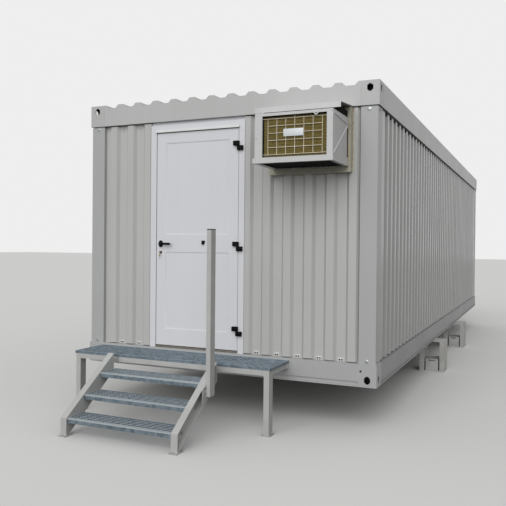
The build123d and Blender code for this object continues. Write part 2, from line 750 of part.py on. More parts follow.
# Lever: one spindle through the leaf with a lever on each face
with BuildPart() as door_lever:
    lever_reach = ROSETTE_THICKNESS + LEVER_STANDOFF
    with BuildSketch(Plane.XZ.offset(-(leaf_back + lever_reach))) as spindle:
        with Locations((lever_x, lever_z)):
            Circle(SPINDLE_RADIUS)
    extrude(spindle.sketch, amount=LEAF_THICKNESS + 2 * lever_reach)
    for low_y in (leaf_front - lever_reach, leaf_back + lever_reach - LEVER_THICKNESS):
        with BuildSketch(Plane.XZ.offset(-(low_y + LEVER_THICKNESS))) as grip:
            with Locations((lever_x, lever_z)):
                Circle(LEVER_THICKNESS / 2 + 2)
            with Locations((lever_x + LEVER_LENGTH / 2, lever_z)):
                SlotOverall(LEVER_LENGTH + LEVER_THICKNESS, LEVER_THICKNESS)
        extrude(grip.sketch, amount=LEVER_THICKNESS)
save(door_lever.part, "door_lever")

# Air conditioner: wall frame, open-fronted case, pan, coil, wire guard, hood, room panel
ac_front = front - AC_REACH
ac_room = front + wall_inner + AC_ROOM_REACH

with BuildPart() as ac_wall_frame:
    slab(ac_frame_x, (front, front + wall_inner), (ac_frame_low, rail_bottom))
    proud_z = (ac_frame_low, rail_bottom - AC_FRAME_HEAD_GAP)
    slab(ac_frame_x, (front - AC_FRAME_PROUD, front), proud_z)
    slab(
        ac_x,
        (front - AC_FRAME_PROUD - 1, front + wall_inner + 1),
        (ac_bottom, ac_top),
        Mode.SUBTRACT,
    )
save(ac_wall_frame.part, "ac_wall_frame")

bezel_x = (ac_x[0] + AC_BEZEL_LEFT, ac_x[1] - AC_BEZEL_RIGHT)
bezel_z = (ac_z[0] + AC_BEZEL_BOTTOM, ac_z[1] - AC_BEZEL_TOP)
ac_inner_x = (ac_x[0] + AC_STEEL, ac_x[1] - AC_STEEL)
ac_inner_z = (ac_z[0] + AC_SKIRT + AC_STEEL, ac_z[1] - AC_STEEL)
ac_slot_y = (front - AC_SLOT_SET - AC_SLOT_WIDTH, front - AC_SLOT_SET)
ac_slot_z = ((ac_z[0] + ac_z[1] - AC_SLOT_HEIGHT) / 2, (ac_z[0] + ac_z[1] + AC_SLOT_HEIGHT) / 2)

with BuildPart() as ac_case:
    slab(ac_x, (ac_front, ac_room), ac_z)
    slab(ac_inner_x, (ac_front + AC_BEZEL_DEPTH, ac_room - AC_STEEL), ac_inner_z, Mode.SUBTRACT)
    slab(bezel_x, (ac_front - 1, ac_front + AC_BEZEL_DEPTH + 1), bezel_z, Mode.SUBTRACT)
    skirt_y = (ac_front + AC_STEEL, front - AC_FRAME_PROUD - AC_STEEL)
    slab(ac_inner_x, skirt_y, (ac_z[0] - 1, ac_z[0] + AC_SKIRT), Mode.SUBTRACT)
    slab((ac_x[0] - 1, ac_x[1] + 1), ac_slot_y, ac_slot_z, Mode.SUBTRACT)
save(ac_case.part, "ac_case")

coil_front = ac_front + AC_BEZEL_DEPTH + AC_COIL_SET
with BuildPart() as ac_coil:
    slab(ac_inner_x, (coil_front, coil_front + AC_COIL_DEPTH), ac_inner_z)
save(ac_coil.part, "ac_coil")

with BuildPart() as ac_base_pan:
    slab(
        (ac_x[0] - AC_PAN_SIDE, ac_x[1] + AC_STEEL),
        (ac_front - AC_STEEL, front - AC_FRAME_PROUD),
        (ac_z[0] - AC_STEEL, ac_z[0] + AC_PAN_HEIGHT),
    )
    slab(ac_x, (ac_front, front), ac_z, Mode.SUBTRACT)
    slab(
        (ac_x[0] + AC_PAN_RIM, ac_x[1] - AC_PAN_RIM),
        (ac_front + AC_PAN_RIM, front - AC_FRAME_PROUD - AC_PAN_RIM),
        (ac_z[0] - AC_STEEL - 1, ac_z[0] + 1),
        Mode.SUBTRACT,
    )
save(ac_base_pan.part, "ac_base_pan")

guard_x = (bezel_x[0] + GRILLE_MARGIN, bezel_x[1] - GRILLE_MARGIN)
guard_z = (bezel_z[0] + GRILLE_MARGIN / 2, bezel_z[1] - GRILLE_MARGIN / 2)
wire_x = (bezel_x[0] + GRILLE_END_GAP, bezel_x[1] - GRILLE_END_GAP)
wire_z = (bezel_z[0] + GRILLE_END_GAP, bezel_z[1] - GRILLE_END_GAP)
row_y = (coil_front - 1.6 * GRILLE_WIRE, coil_front - 0.6 * GRILLE_WIRE)
column_pitch = (guard_x[1] - guard_x[0] - GRILLE_WIRE) / GRILLE_COLUMNS
row_pitch = (guard_z[1] - guard_z[0] - GRILLE_WIRE) / GRILLE_ROWS

with BuildPart() as ac_wire_guard:
    for number in range(GRILLE_COLUMNS + 1):
        x = guard_x[0] + number * column_pitch
        slab((x, x + GRILLE_WIRE), (coil_front - GRILLE_WIRE, coil_front), wire_z)
    for number in range(GRILLE_ROWS + 1):
        z = guard_z[0] + number * row_pitch
        slab(wire_x, row_y, (z, z + GRILLE_WIRE))
save(ac_wire_guard.part, "ac_wire_guard")

hood_front = front - HOOD_REACH
hood_edge = rail_bottom - HOOD_DROP
hood_section = [
    (front, rail_bottom),
    (hood_front, hood_edge),
    (hood_front, hood_edge + HOOD_STEEL - HOOD_LIP),
    (hood_front - HOOD_STEEL, hood_edge + HOOD_STEEL - HOOD_LIP),
    (hood_front - HOOD_STEEL, hood_edge + HOOD_STEEL),
    (front, rail_bottom + HOOD_STEEL),
]
hood_width = ac_frame_x[1] - ac_frame_x[0] + 2 * HOOD_SIDE
with BuildPart() as ac_hood:
    prism(hood_section, Plane.YZ.offset(ac_frame_x[0] - HOOD_SIDE), hood_width)
save(ac_hood.part, "ac_hood")

with BuildPart() as ac_room_panel:
    slab(ac_x, (ac_room, ac_room + AC_ROOM_REACH), ac_z)
    louvre_pitch = (AC_HEIGHT - 2 * AC_BEZEL_BOTTOM) / LOUVRE_COUNT
    for number in range(LOUVRE_COUNT):
        z = ac_z[0] + AC_BEZEL_BOTTOM + number * louvre_pitch
        slab(
            (ac_x[0] + AC_BEZEL_LEFT, ac_x[1] - AC_BEZEL_LEFT),
            (ac_room + AC_ROOM_REACH / 2, ac_room + AC_ROOM_REACH + 1),
            (z, z + LOUVRE_HEIGHT),
            Mode.SUBTRACT,
        )
save(ac_room_panel.part, "ac_room_panel")


# Landing: grating on a tube frame, carried by two front legs and the base rail
def grating(x, y, z, pitch):
    """Add a grating: an edge bar all round and parallel bars running from front to back."""
    width = x[1] - x[0]
    depth = y[1] - y[0]
    clear_width = width - 2 * GRATING_EDGE
    count = max(1, round(clear_width / pitch))
    step = (clear_width + GRATING_BAR) / count
    with BuildSketch(Plane(((x[0] + x[1]) / 2, (y[0] + y[1]) / 2, z[0]))) as bars:
        Rectangle(width, depth)
        with GridLocations(step, 0, count, 1):
            Rectangle(step - GRATING_BAR, depth - 2 * GRATING_EDGE, mode=Mode.SUBTRACT)
    extrude(bars.sketch, amount=z[1] - z[0])


landing_x = (left + LANDING_LEFT, left + LANDING_LEFT + LANDING_LENGTH)
landing_y = (front - LANDING_DEPTH, front)
landing_top = base_top - LANDING_BELOW_FLOOR
grating_bottom = landing_top - GRATING_DEPTH
beam_z = (grating_bottom - LANDING_BEAM_HEIGHT, grating_bottom)

with BuildPart() as landing_grating:
    grating(landing_x, landing_y, (grating_bottom, landing_top), LANDING_BAR_PITCH)
save(landing_grating.part, "landing_grating")

leg_xs = (
    (landing_x[0] + LEG_INSET, landing_x[0] + LEG_INSET + LEG_WIDTH),
    (landing_x[1] - LEG_INSET - LEG_WIDTH, landing_x[1] - LEG_INSET),
)
leg_y = (landing_y[0], landing_y[0] + LEG_DEPTH)
with BuildPart() as landing_frame:
    slab((leg_xs[0][1], leg_xs[1][0]), (landing_y[0], landing_y[0] + LANDING_BEAM_WIDTH), beam_z)
    slab(landing_x, (landing_y[1] - LANDING_BEAM_WIDTH, landing_y[1]), beam_z)
    for x in leg_xs:
        slab(x, (leg_y[1], landing_y[1] - LANDING_BEAM_WIDTH), beam_z)
    bay = (landing_x[1] - landing_x[0] - LANDING_BEAM_WIDTH) / LANDING_BAYS
    for number in range(1, LANDING_BAYS):
        x = landing_x[0] + number * bay
        slab((x, x + LANDING_BEAM_WIDTH), (landing_y[0] + 1, landing_y[1] - 1), beam_z)
save(landing_frame.part, "landing_frame")

with BuildPart() as landing_legs:
    for x in leg_xs:
        tube(x, leg_y, (FOOT_PLATE, grating_bottom), TUBE_STEEL)
        slab(
            (x[0] - FOOT_PLATE_MARGIN, x[1] + FOOT_PLATE_MARGIN),
            (leg_y[0] - FOOT_PLATE_MARGIN, leg_y[1] + FOOT_PLATE_MARGIN),
            (0, FOOT_PLATE),
        )
save(landing_legs.part, "landing_legs")

# Stair: channel stringers open outwards, treads between their webs. Each stringer's top
# flange runs just above the tread edges and both of its ends are cut upright.
nose_y = front - stair_run - STRINGER_NOSE
slope = TREAD_RISE / TREAD_GOING
foot_top = TREAD_RISE + STRINGER_LIFT - slope * STRINGER_NOSE
foot_length = max(4 * STRINGER_STEEL, (FOOT_PLATE + STRINGER_DROP - foot_top) / slope)
head_y = front - LANDING_DEPTH - STRINGER_TOP_GAP
head_top = foot_top + slope * (head_y - nose_y)
stringer_outline = [
    (nose_y, FOOT_PLATE),
    (nose_y, foot_top),
    (head_y, head_top),
    (head_y, head_top - STRINGER_DROP),
    (nose_y + foot_length, FOOT_PLATE),
]
stair_left = landing_x[0] + STAIR_FROM_LANDING_END
stair_x = (stair_left, stair_left + STAIR_WIDTH)
web_left = stair_x[0] + STRINGER_FLANGE
web_right = stair_x[1] - STRINGER_FLANGE
lug_z = (grating_bottom - LUG_HEIGHT, grating_bottom)


def stringer(outer_x, web_x):
    """Add a stringer: a pan with its web at web_x, its toe plate and its landing lug."""
    low_x, high_x = sorted((outer_x, web_x))
    prism(stringer_outline, Plane.YZ.offset(low_x), high_x - low_x)
    with BuildSketch(Plane.YZ.offset(low_x)) as pocket:
        with BuildLine():
            Polyline(*stringer_outline, close=True)
        make_face()
        offset(amount=-STRINGER_STEEL, kind=Kind.INTERSECTION, mode=Mode.REPLACE)
    pocket_depth = high_x - low_x - STRINGER_STEEL
    if web_x > outer_x:
        extrude(pocket.sketch, amount=pocket_depth, mode=Mode.SUBTRACT)
        lug_x = (web_x - LUG_STEEL, web_x)
    else:
        inset = pocket.sketch.moved(Location((STRINGER_STEEL, 0, 0)))
        extrude(inset, amount=pocket_depth, mode=Mode.SUBTRACT)
        lug_x = (web_x, web_x + LUG_STEEL)
    slab(lug_x, (head_y - LUG_HEIGHT, front - LANDING_DEPTH), lug_z)
    toe_y = nose_y - TOE_REACH
    slab((low_x - TOE_MARGIN, high_x + TOE_MARGIN), (toe_y, toe_y + TOE_LENGTH), (0, FOOT_PLATE))


with BuildPart() as stringer_left:
    stringer(stair_x[0], web_left)
save(stringer_left.part, "stringer_left")

with BuildPart() as stringer_right:
    stringer(stair_x[1], web_right)
save(stringer_right.part, "stringer_right")

for number in range(1, TREAD_COUNT + 1):
    tread_front = front - stair_run + (number - 1) * TREAD_GOING
    tread_top = number * TREAD_RISE
    with BuildPart() as tread:
        y = (tread_front, tread_front + TREAD_DEPTH)
        grating((web_left, web_right), y, (tread_top - TREAD_HEIGHT, tread_top), TREAD_BAR_PITCH)
    save(tread.part, f"tread_{number}")

# Handrail post: a capped tube on a plate across the right stringer's open side
post_x = (stair_x[1] + HANDRAIL_PLATE, stair_x[1] + HANDRAIL_PLATE + HANDRAIL_WIDTH)
post_front = landing_y[0] - HANDRAIL_FROM_LANDING
post_y = (post_front, post_front + HANDRAIL_DEPTH)
post_top = landing_top + HANDRAIL_ABOVE_LANDING
with BuildPart() as handrail_post:
    tube(post_x, post_y, (landing_top - HANDRAIL_BELOW_LANDING, post_top), TUBE_STEEL)
    slab(post_x, post_y, (post_top - HANDRAIL_CAP, post_top))
    plate_y = (post_y[0] - HANDRAIL_PLATE_FRONT, post_y[1] + HANDRAIL_PLATE_REAR)
    plate_low = [head_top - STRINGER_DROP + slope * (y - head_y) for y in plate_y]
    plate = [
        (plate_y[0], plate_low[0]),
        (plate_y[1], plate_low[1]),
        (plate_y[1], plate_low[1] + STRINGER_DROP),
        (plate_y[0], plate_low[0] + STRINGER_DROP),
    ]
    prism(plate, Plane.YZ.offset(stair_x[1]), HANDRAIL_PLATE)
save(handrail_post.part, "handrail_post")

# Support stools: two legs between plates, and a slotted box on the base plate
stool_xs = (
    (left - STOOL_PROUD, 1),
    (right + STOOL_PROUD, -1),
)
middle_y = (front + rear) / 2
with BuildPart() as support_stools:
    for outer_x, inward in stool_xs:
        for y in (middle_y - STOOL_SPREAD / 2, middle_y + STOOL_SPREAD / 2):
            y_range = (y - STOOL_DEPTH / 2, y + STOOL_DEPTH / 2)
            far_x = outer_x + inward * STOOL_WIDTH
            x_range = tuple(sorted((outer_x, far_x)))
            slab(x_range, y_range, (0, STOOL_PLATE))
            slab(x_range, y_range, (STOOL_HEIGHT - STOOL_PLATE, STOOL_HEIGHT))
            legs = (
                tuple(sorted((outer_x, outer_x + inward * STOOL_LEG))),
                tuple(sorted((far_x, far_x - inward * STOOL_LEG))),
            )
            for leg_x in legs:
                tube(leg_x, y_range, (STOOL_PLATE, STOOL_HEIGHT - STOOL_PLATE), STOOL_STEEL)
            middle_x = (outer_x + far_x) / 2
            box_x = (middle_x - STOOL_BOX_WIDTH / 2, middle_x + STOOL_BOX_WIDTH / 2)
            box_y = (y_range[0], y_range[1])
            tube(box_x, box_y, (STOOL_PLATE, STOOL_BOX_HEIGHT), STOOL_STEEL)
            slab(
                (middle_x - STOOL_SLOT_WIDTH / 2, middle_x + STOOL_SLOT_WIDTH / 2),
                (y_range[0] - 1, y_range[0] + STOOL_STEEL + 1),
                (STOOL_SLOT_RISE - STOOL_SLOT_HEIGHT / 2, STOOL_SLOT_RISE + STOOL_SLOT_HEIGHT / 2),
                Mode.SUBTRACT,
            )
save(support_stools.part, "support_stools")
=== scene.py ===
"""Dresses a packed site cabin: its finishes, fasteners, gratings, door fittings and air conditioner.

Shapes are laid out in millimetres, and turned to metres where they enter a mesh.
"""
import json
import logging
import math
from dataclasses import dataclass
from enum import Enum
from functools import cache
from itertools import product
from typing import Iterable, Sequence

import bmesh
import bpy
import numpy as np
from mathutils import Matrix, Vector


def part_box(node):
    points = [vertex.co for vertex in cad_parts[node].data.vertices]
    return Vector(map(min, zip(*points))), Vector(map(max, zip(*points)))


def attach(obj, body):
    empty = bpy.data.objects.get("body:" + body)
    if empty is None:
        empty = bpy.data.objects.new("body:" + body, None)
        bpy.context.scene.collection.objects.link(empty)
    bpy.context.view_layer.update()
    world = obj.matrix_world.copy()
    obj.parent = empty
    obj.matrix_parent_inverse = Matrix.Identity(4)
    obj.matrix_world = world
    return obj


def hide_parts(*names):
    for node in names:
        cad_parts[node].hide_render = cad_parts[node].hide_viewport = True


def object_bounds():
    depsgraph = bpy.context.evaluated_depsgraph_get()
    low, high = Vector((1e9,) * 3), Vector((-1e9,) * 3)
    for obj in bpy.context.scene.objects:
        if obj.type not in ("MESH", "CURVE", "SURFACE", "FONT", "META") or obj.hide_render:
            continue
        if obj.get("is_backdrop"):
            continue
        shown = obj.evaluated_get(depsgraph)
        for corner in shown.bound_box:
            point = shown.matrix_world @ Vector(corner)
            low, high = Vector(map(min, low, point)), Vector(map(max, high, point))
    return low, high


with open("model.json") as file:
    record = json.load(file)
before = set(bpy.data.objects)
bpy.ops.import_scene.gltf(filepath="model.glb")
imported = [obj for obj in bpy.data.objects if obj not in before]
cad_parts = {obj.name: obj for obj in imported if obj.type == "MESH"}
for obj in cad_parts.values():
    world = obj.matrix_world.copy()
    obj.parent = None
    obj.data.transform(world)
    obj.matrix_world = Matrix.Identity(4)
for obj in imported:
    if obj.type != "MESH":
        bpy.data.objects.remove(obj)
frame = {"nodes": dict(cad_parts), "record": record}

Place = Sequence[float]
Outline = Sequence[Place]
Pair = tuple[float, float]
Socket = bpy.types.NodeSocket

CAD_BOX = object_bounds()
LOG = logging.getLogger("site_cabin")
MM = 0.001
SINK = 0.3  # how far a piece reaches into what it stands on
SHARP_ANGLE = math.radians(32)
BEND_STEPS = 6
FULLEST = 0.98  # largest edge radius, as a share of half a block's thinnest side
CAP_SHARE = 0.02  # share of the edge radius that an end face keeps at its corners
SQUARE = np.array(((1, 1), (-1, 1), (-1, -1), (1, -1)), float)
ENDS = ((0, -1), (1, 1))  # which corner of a box, and which way is outward there
MIDDLE = (0.3, 0.7)  # how much of a pattern's range is used
BROAD = (0.1, 0.9)
FULL = (0.0, 1.0)


# Shapes


@dataclass
class Form:
    """One or more closed shells.

    Args:
        points: One row of x, y and z for each point.
        faces: Arrays of faces, as rows of point numbers; each array has its own number of corners.
    """

    points: np.ndarray
    faces: list[np.ndarray]

    def aimed(self, facing: "Facing") -> "Form":
        """Return a copy whose local z points outward."""
        return Form(self.points @ facing.basis(), self.faces)

    def at(self, places: np.ndarray | Place | Outline) -> "Form":
        """Copy these shells to one place or several, given as rows of x, y and z."""
        return joined(Form(self.points + place, self.faces) for place in np.reshape(places, (-1, 3)))


class Facing(Enum):
    """Outward direction of a fitting's axis."""

    FRONT = (0.0, -1.0, 0.0)
    REAR = (0.0, 1.0, 0.0)
    LEFT = (-1.0, 0.0, 0.0)
    RIGHT = (1.0, 0.0, 0.0)
    UP = (0.0, 0.0, 1.0)

    def basis(self) -> np.ndarray:
        """Rows are the across, up and outward directions, a right-handed set."""
        upward = (0.0, 1.0, 0.0) if self is UP else (0.0, 0.0, 1.0)
        return np.array((np.cross(upward, self.value), upward, self.value))

    def surface(self, node: str) -> np.ndarray:
        """Middle of a node's outermost face on this side."""
        low, high = box(node)
        return (low + high) / 2 + (high - low) / 2 * self.value


FRONT, REAR, LEFT, RIGHT, UP = Facing


def box(node: str) -> np.ndarray:
    """Lowest and highest corner of a node at rest."""
    return np.array(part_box(node)) / MM


def joined(forms: Iterable[Form]) -> Form:
    """Gather several forms into one.

    Args:
        forms: The forms, whose faces are renumbered.

    Returns:
        One form with all their shells.
    """
    forms = list(forms)
    starts = np.cumsum([0] + [len(form.points) for form in forms])
    faces = [rows + start for form, start in zip(forms, starts) for rows in form.faces]
    return Form(np.concatenate([form.points for form in forms]), faces)


def skin(rings: np.ndarray, closed: bool = False) -> Form:
    """Cover a row of closed loops with quads.

    Point j of loop i joins point j of loop i + 1, and the last point of each loop joins its
    first. The end loops become flat caps, unless the row itself closes on its first loop.

    Args:
        rings: Array of loops by points by coordinates.
        closed: True where the last loop joins the first.

    Returns:
        One closed shell.
    """
    loops, size, _ = rings.shape
    number = np.arange(loops * size).reshape(loops, size)
    here, ahead = (number, np.roll(number, -1, axis=0)) if closed else (number[:-1], number[1:])
    quads = np.stack((here, np.roll(here, -1, 1), np.roll(ahead, -1, 1), ahead), axis=-1).reshape(-1, 4)
    caps = [] if closed else [np.stack((number[0][::-1], number[-1]))]
    return Form(rings.reshape(-1, 3), [quads, *caps])


def raised(flat: np.ndarray, heights: Place) -> np.ndarray:
    """Give each loop of flat points its height as a third coordinate."""
    levels = np.broadcast_to(np.reshape(heights, (-1, 1, 1)), (*flat.shape[:2], 1))
    return np.concatenate((flat, levels), axis=-1)


def unit(rows: np.ndarray) -> np.ndarray:
    """Give each row the length one."""
    return rows / np.linalg.norm(rows, axis=-1, keepdims=True)


def circle(radius: np.ndarray | float, count: int, turn: np.ndarray | float = 0.0) -> np.ndarray:
    """Points at even angles round one circle or several: radius times cosine and sine of angle plus turn."""
    angle = np.linspace(0, math.tau, count, endpoint=False) + np.expand_dims(turn, -1)
    return np.stack((np.cos(angle), np.sin(angle)), axis=-1) * np.expand_dims(radius, (-2, -1))


def turned(profile: Outline, count: int) -> Form:
    """Spin a profile of (radius, height) points about z in a number of flats, with flat ends."""
    radius, height = np.transpose(profile)
    return skin(raised(circle(radius, count), height))


def run(levels: Place, outline: Outline, facing: Facing, sizes: float | Place = 1.0) -> Form:
    """Carry an outline of (across, up) points between levels on a facing's outward axis, sized at each."""
    flat = np.asarray(outline) * np.broadcast_to(sizes, len(levels))[:, None, None]
    return skin(raised(flat, levels)).aimed(facing)


def block(low: Place, high: Place, radius: float = 0.0, steps: int = 3) -> Form:
    """Block with every edge rounded.

    Its level sections are rounded rectangles. Near each end the section shrinks by
    radius * (1 - sin t) while its height runs radius * (1 - cos t) from the end, for t from
    nought to a right angle.

    Args:
        low: One corner.
        high: The opposite corner.
        radius: Edge radius; nought gives a plain bar with sharp edges.
        steps: Number of flats in each rounded edge.

    Returns:
        The block.
    """
    low, high = np.sort((low, high), axis=0)
    middle, half = (low + high) / 2, (high - low) / 2
    if not radius:
        return run((low[2], high[2]), middle[:2] + SQUARE * half[:2], UP)
    radius = min(radius, FULLEST * half.min())
    t = np.linspace(0, np.pi / 2, steps + 1)
    rise, reach = radius * (1 - np.cos(t)), radius * np.maximum(np.sin(t), CAP_SHARE)
    angle = (np.pi / 2 * np.arange(4)[:, None] + t).reshape(-1, 1)
    arcs = np.concatenate((np.cos(angle), np.sin(angle)), axis=1)
    centres = (SQUARE * (half[:2] - radius)).repeat(steps + 1, axis=0)
    flat = centres + arcs * np.concatenate((reach, reach[::-1]))[:, None, None]
    return skin(raised(flat, np.concatenate((rise - half[2], (half[2] - rise)[::-1]))) + middle)


def swept(path: Outline, section: np.ndarray, across: Place, closed: bool = False) -> Form:
    """Carry a flat section along a path that lies in one plane.

    At each path point the section's first axis is `across`, the normal of the path's plane,
    and its second axis is the path's tangent crossed with that normal.

    Args:
        path: Points along the path.
        section: Closed outline of (first, second) distances, one for all or one for each point.
        across: Normal of the plane that the path lies in.
        closed: True where the path returns to its first point.

    Returns:
        A tube of that section.
    """
    path = np.asarray(path)
    tangent = unit(np.roll(path, -1, 0) - np.roll(path, 1, 0) if closed else np.gradient(path, axis=0))
    second = np.cross(tangent, across)[:, None]
    return skin(path[:, None] + section[..., :1] * np.array(across) + section[..., 1:] * second, closed)


def bent(corners: Outline, radius: float) -> np.ndarray:
    """Path through corners, each inner one rounded by a parabola.

    Args:
        corners: Corner points in order.
        radius: Distance from a corner at which its parabola starts and ends.

    Returns:
        Points along the path.
    """
    corner = np.asarray(corners, float)
    inner = corner[1:-1]
    back, on = unit(corner[:-2] - inner), unit(corner[2:] - inner)
    t = np.linspace(0, 1, BEND_STEPS + 1)[None, :, None]
    bends = inner[:, None] + radius * ((1 - t) ** 2 * back[:, None] + t**2 * on[:, None])
    return np.concatenate((corner[:1], bends.reshape(-1, 3), corner[-1:]))


def border(low: Place, high: Place, profile: Outline, face: float, side: int = -1) -> Form:
    """Strip of one profile round an upright rectangle, mitred at its corners.

    Args:
        low: Lowest x and z of the rectangle.
        high: Highest x and z.
        profile: Closed outline of (inward, outward) distances from the rectangle's edge.
        face: Place of the rectangle along y.
        side: -1 where outward is to the front, 1 where it is to the rear.

    Returns:
        A closed ring.
    """
    low, high = np.asarray(low), np.asarray(high)
    inward, outward = np.transpose(profile)
    x, z = np.moveaxis((low + high) / 2 - SQUARE[:, None] * ((high - low) / 2 - inward[:, None]), -1, 0)
    return skin(np.stack((x, np.broadcast_to(face + side * outward, x.shape), z), axis=-1), closed=True)


# Finishes


def linear(colour: str) -> tuple[float, float, float, float]:
    """Turn an sRGB hex colour to linear light.

    A value up to 0.04045 is divided by 12.92. A higher one gets 0.055 more, is divided by 1.055
    and raised to the power 2.4.

    Args:
        colour: Six hex digits, such as b0b1af.

    Returns:
        Linear red, green and blue, and one.
    """
    value = np.array(list(bytes.fromhex(colour))) / 255
    value = np.where(value <= 0.04045, value / 12.92, ((value + 0.055) / 1.055) ** 2.4)
    return (*value.tolist(), 1.0)


class Recipe:
    """Nodes of one material, or of the world, while they are built."""

    def __init__(self, holder: bpy.types.Material | bpy.types.World, last: str = "Principled BSDF") -> None:
        """Start from the nodes that a new material or world has.

        Args:
            holder: The material or world.
            last: Name of its shader node.
        """
        holder.use_nodes = True
        self.tree = holder.node_tree
        self.shader = self.tree.nodes[last]
        self.place = self.add("TexCoord")["Object"]

    def add(self, node: str | bpy.types.Node, inputs: dict | Sequence = (),
            **settings: object) -> Sequence[Socket]:
        """Add one node, or take one that is there, with its settings and links.

        Args:
            node: Kind of the new node, or the node.
            inputs: Values, hex colours or output sockets, in the order of the node's inputs or by
                their names or numbers.
            settings: Attributes of the node.

        Returns:
            Its outputs.
        """
        if isinstance(node, str):
            node = self.tree.nodes.new(f"ShaderNode{node}")
        for name, value in settings.items():
            setattr(node, name, value)
        for name, value in inputs.items() if isinstance(inputs, dict) else enumerate(inputs):
            if isinstance(value, Socket):
                self.tree.links.new(value, node.inputs[name])
            else:
                node.inputs[name].default_value = linear(value) if isinstance(value, str) else value
        return node.outputs

    def cloud(self, size: float, detail: float = 3.0, stretch: Place = (1, 1, 1)) -> Socket:
        """Soft random pattern on the object.

        Args:
            size: Size of one patch, in millimetres.
            detail: How many finer layers are added.
            stretch: How many times longer a patch is along x, y and z.

        Returns:
            A value near one half.
        """
        scale = [1 / (size * MM * length) for length in stretch]
        place = self.add("Mapping", {"Vector": self.place, "Scale": scale})[0]
        return self.add("TexNoise", {"Vector": place, "Scale": 1.0, "Detail": detail})[0]

    def stain(self, pattern: Socket, most: float, base: Socket | str, over: str,
              source: Pair = MIDDLE) -> Socket:
        """Cover a colour by a second one, in shares from nought to most over a pattern's source range."""
        share = self.add("MapRange", (pattern, *source, 0, most))[0]
        return self.add("Mix", {0: share, 6: base, 7: over}, data_type="RGBA")[2]

    def grain(self, size: float, depth: float, detail: float = 2.0, **below: Socket) -> Socket:
        """Raise soft patches by a depth in millimetres, over the relief given as Normal if there is one."""
        height = self.cloud(size, detail)
        return self.add("Bump", {"Height": height, "Distance": depth * MM, "Strength": 1.0, **below})[0]

    def seen(self) -> Socket:
        """Tell rays that are looked along from light that bounces about.

        Returns:
            One for camera, glossy and transmission rays, and nought for others.
        """
        rays = self.add("LightPath")
        seen = rays["Is Camera Ray"]
        for kind in ("Glossy", "Transmission"):
            seen = self.add("Math", (seen, rays[f"Is {kind} Ray"]), operation="MAXIMUM")[0]
        return seen


@dataclass(frozen=True)
class Finish:
    """A surface finish, named for its material and how it was made."""

    name: str
    colour: str
    roughness: float
    metallic: float = 0.0
    specular: float = 0.5

    @cache
    def material(self) -> bpy.types.Material:
        """Build the material, only once, from the shader's own values and the finish's pattern.

        Returns:
            The material.
        """
        material = bpy.data.materials.new(self.name)
        recipe = Recipe(material)
        recipe.add(recipe.shader, {"Base Color": self.colour, "Roughness": self.roughness,
                                   "Metallic": self.metallic, "Specular IOR Level": self.specular})
        self.pattern(recipe)
        return material

    def pattern(self, recipe: Recipe) -> None:
        """Add the pattern of this kind of finish."""


@dataclass(frozen=True)
class PaintedSteel(Finish):
    """Sheet steel under paint.

    The eye sees broad faint patches, long rain streaks and a slight waviness of the sheet. The
    sizes and depths are in millimetres; a share is the most that soil covers the paint.
    """

    patch: float = 700.0
    patch_share: float = 0.16
    streak: float = 60.0
    streak_share: float = 0.06
    streak_length: float = 30.0
    wave: float = 600.0
    wave_depth: float = 0.2
    grain: float = 9.0
    grain_depth: float = 0.004
    soil: str = "84837e"

    def pattern(self, recipe: Recipe) -> None:
        """Patches and upright streaks of soil, with waves and a fine paint grain in relief.

        The paint's real grain is near 1 mm and is drawn coarser, so that it shows.

        Args:
            recipe: Nodes of the material.
        """
        patches = recipe.cloud(self.patch, 1.0)
        streaks = recipe.cloud(self.streak, 1.0, (1, 1, self.streak_length))
        shares = [recipe.add("MapRange", (pattern, *BROAD, 0, most))[0]
                  for pattern, most in ((patches, self.patch_share), (streaks, self.streak_share))]
        share = recipe.add("Math", shares, operation="ADD")[0]
        sheen = (recipe.cloud(self.patch / 2, 1.0), *FULL, self.roughness - 0.06, self.roughness + 0.07)
        wave = recipe.grain(self.wave, self.wave_depth, 1.0)
        recipe.add(recipe.shader, {
            "Base Color": recipe.add("Mix", {0: share, 6: self.colour, 7: self.soil}, data_type="RGBA")[2],
            "Roughness": recipe.add("MapRange", sheen)[0],
            "Normal": recipe.grain(self.grain, self.grain_depth, Normal=wave)})


@dataclass(frozen=True)
class BlockPaint(PaintedSteel):
    """Paint on the corner blocks, with painted shade within their hollows."""

    node: str = "lower_corner_blocks"
    # near-black painted shade for the hollows
    inside_shade: str = "1b1b1b"
    wall: float = 6.0

    def pattern(self, recipe: Recipe) -> None:
        """The painted pattern, with shade_mask one wherever a point lies within the outer faces; there the
        colour is painted shade.

        Args:
            recipe: Nodes of the material.
        """
        super().pattern(recipe)
        shade_mask: Socket | float = 1.0
        axes = recipe.add("SeparateXYZ", [recipe.place])
        for axis, start, end in zip(axes, *box(self.node) * MM):
            away = recipe.add("Math", (axis, (start + end) / 2), operation="SUBTRACT")[0]
            reach = recipe.add("Math", [away], operation="ABSOLUTE")[0]
            limit = (end - start) / 2 - self.wall * MM
            within = recipe.add("Math", (reach, limit), operation="LESS_THAN")[0]
            shade_mask = recipe.add("Math", (within, shade_mask), operation="MULTIPLY")[0]
        painted = recipe.shader.inputs["Base Color"].links[0].from_socket
        # painted shade: the colour turns near black within the hollow
        mixed = recipe.add("Mix", {0: shade_mask, 6: painted, 7: self.inside_shade}, data_type="RGBA")[2]
        recipe.add(recipe.shader, {"Base Color": mixed})


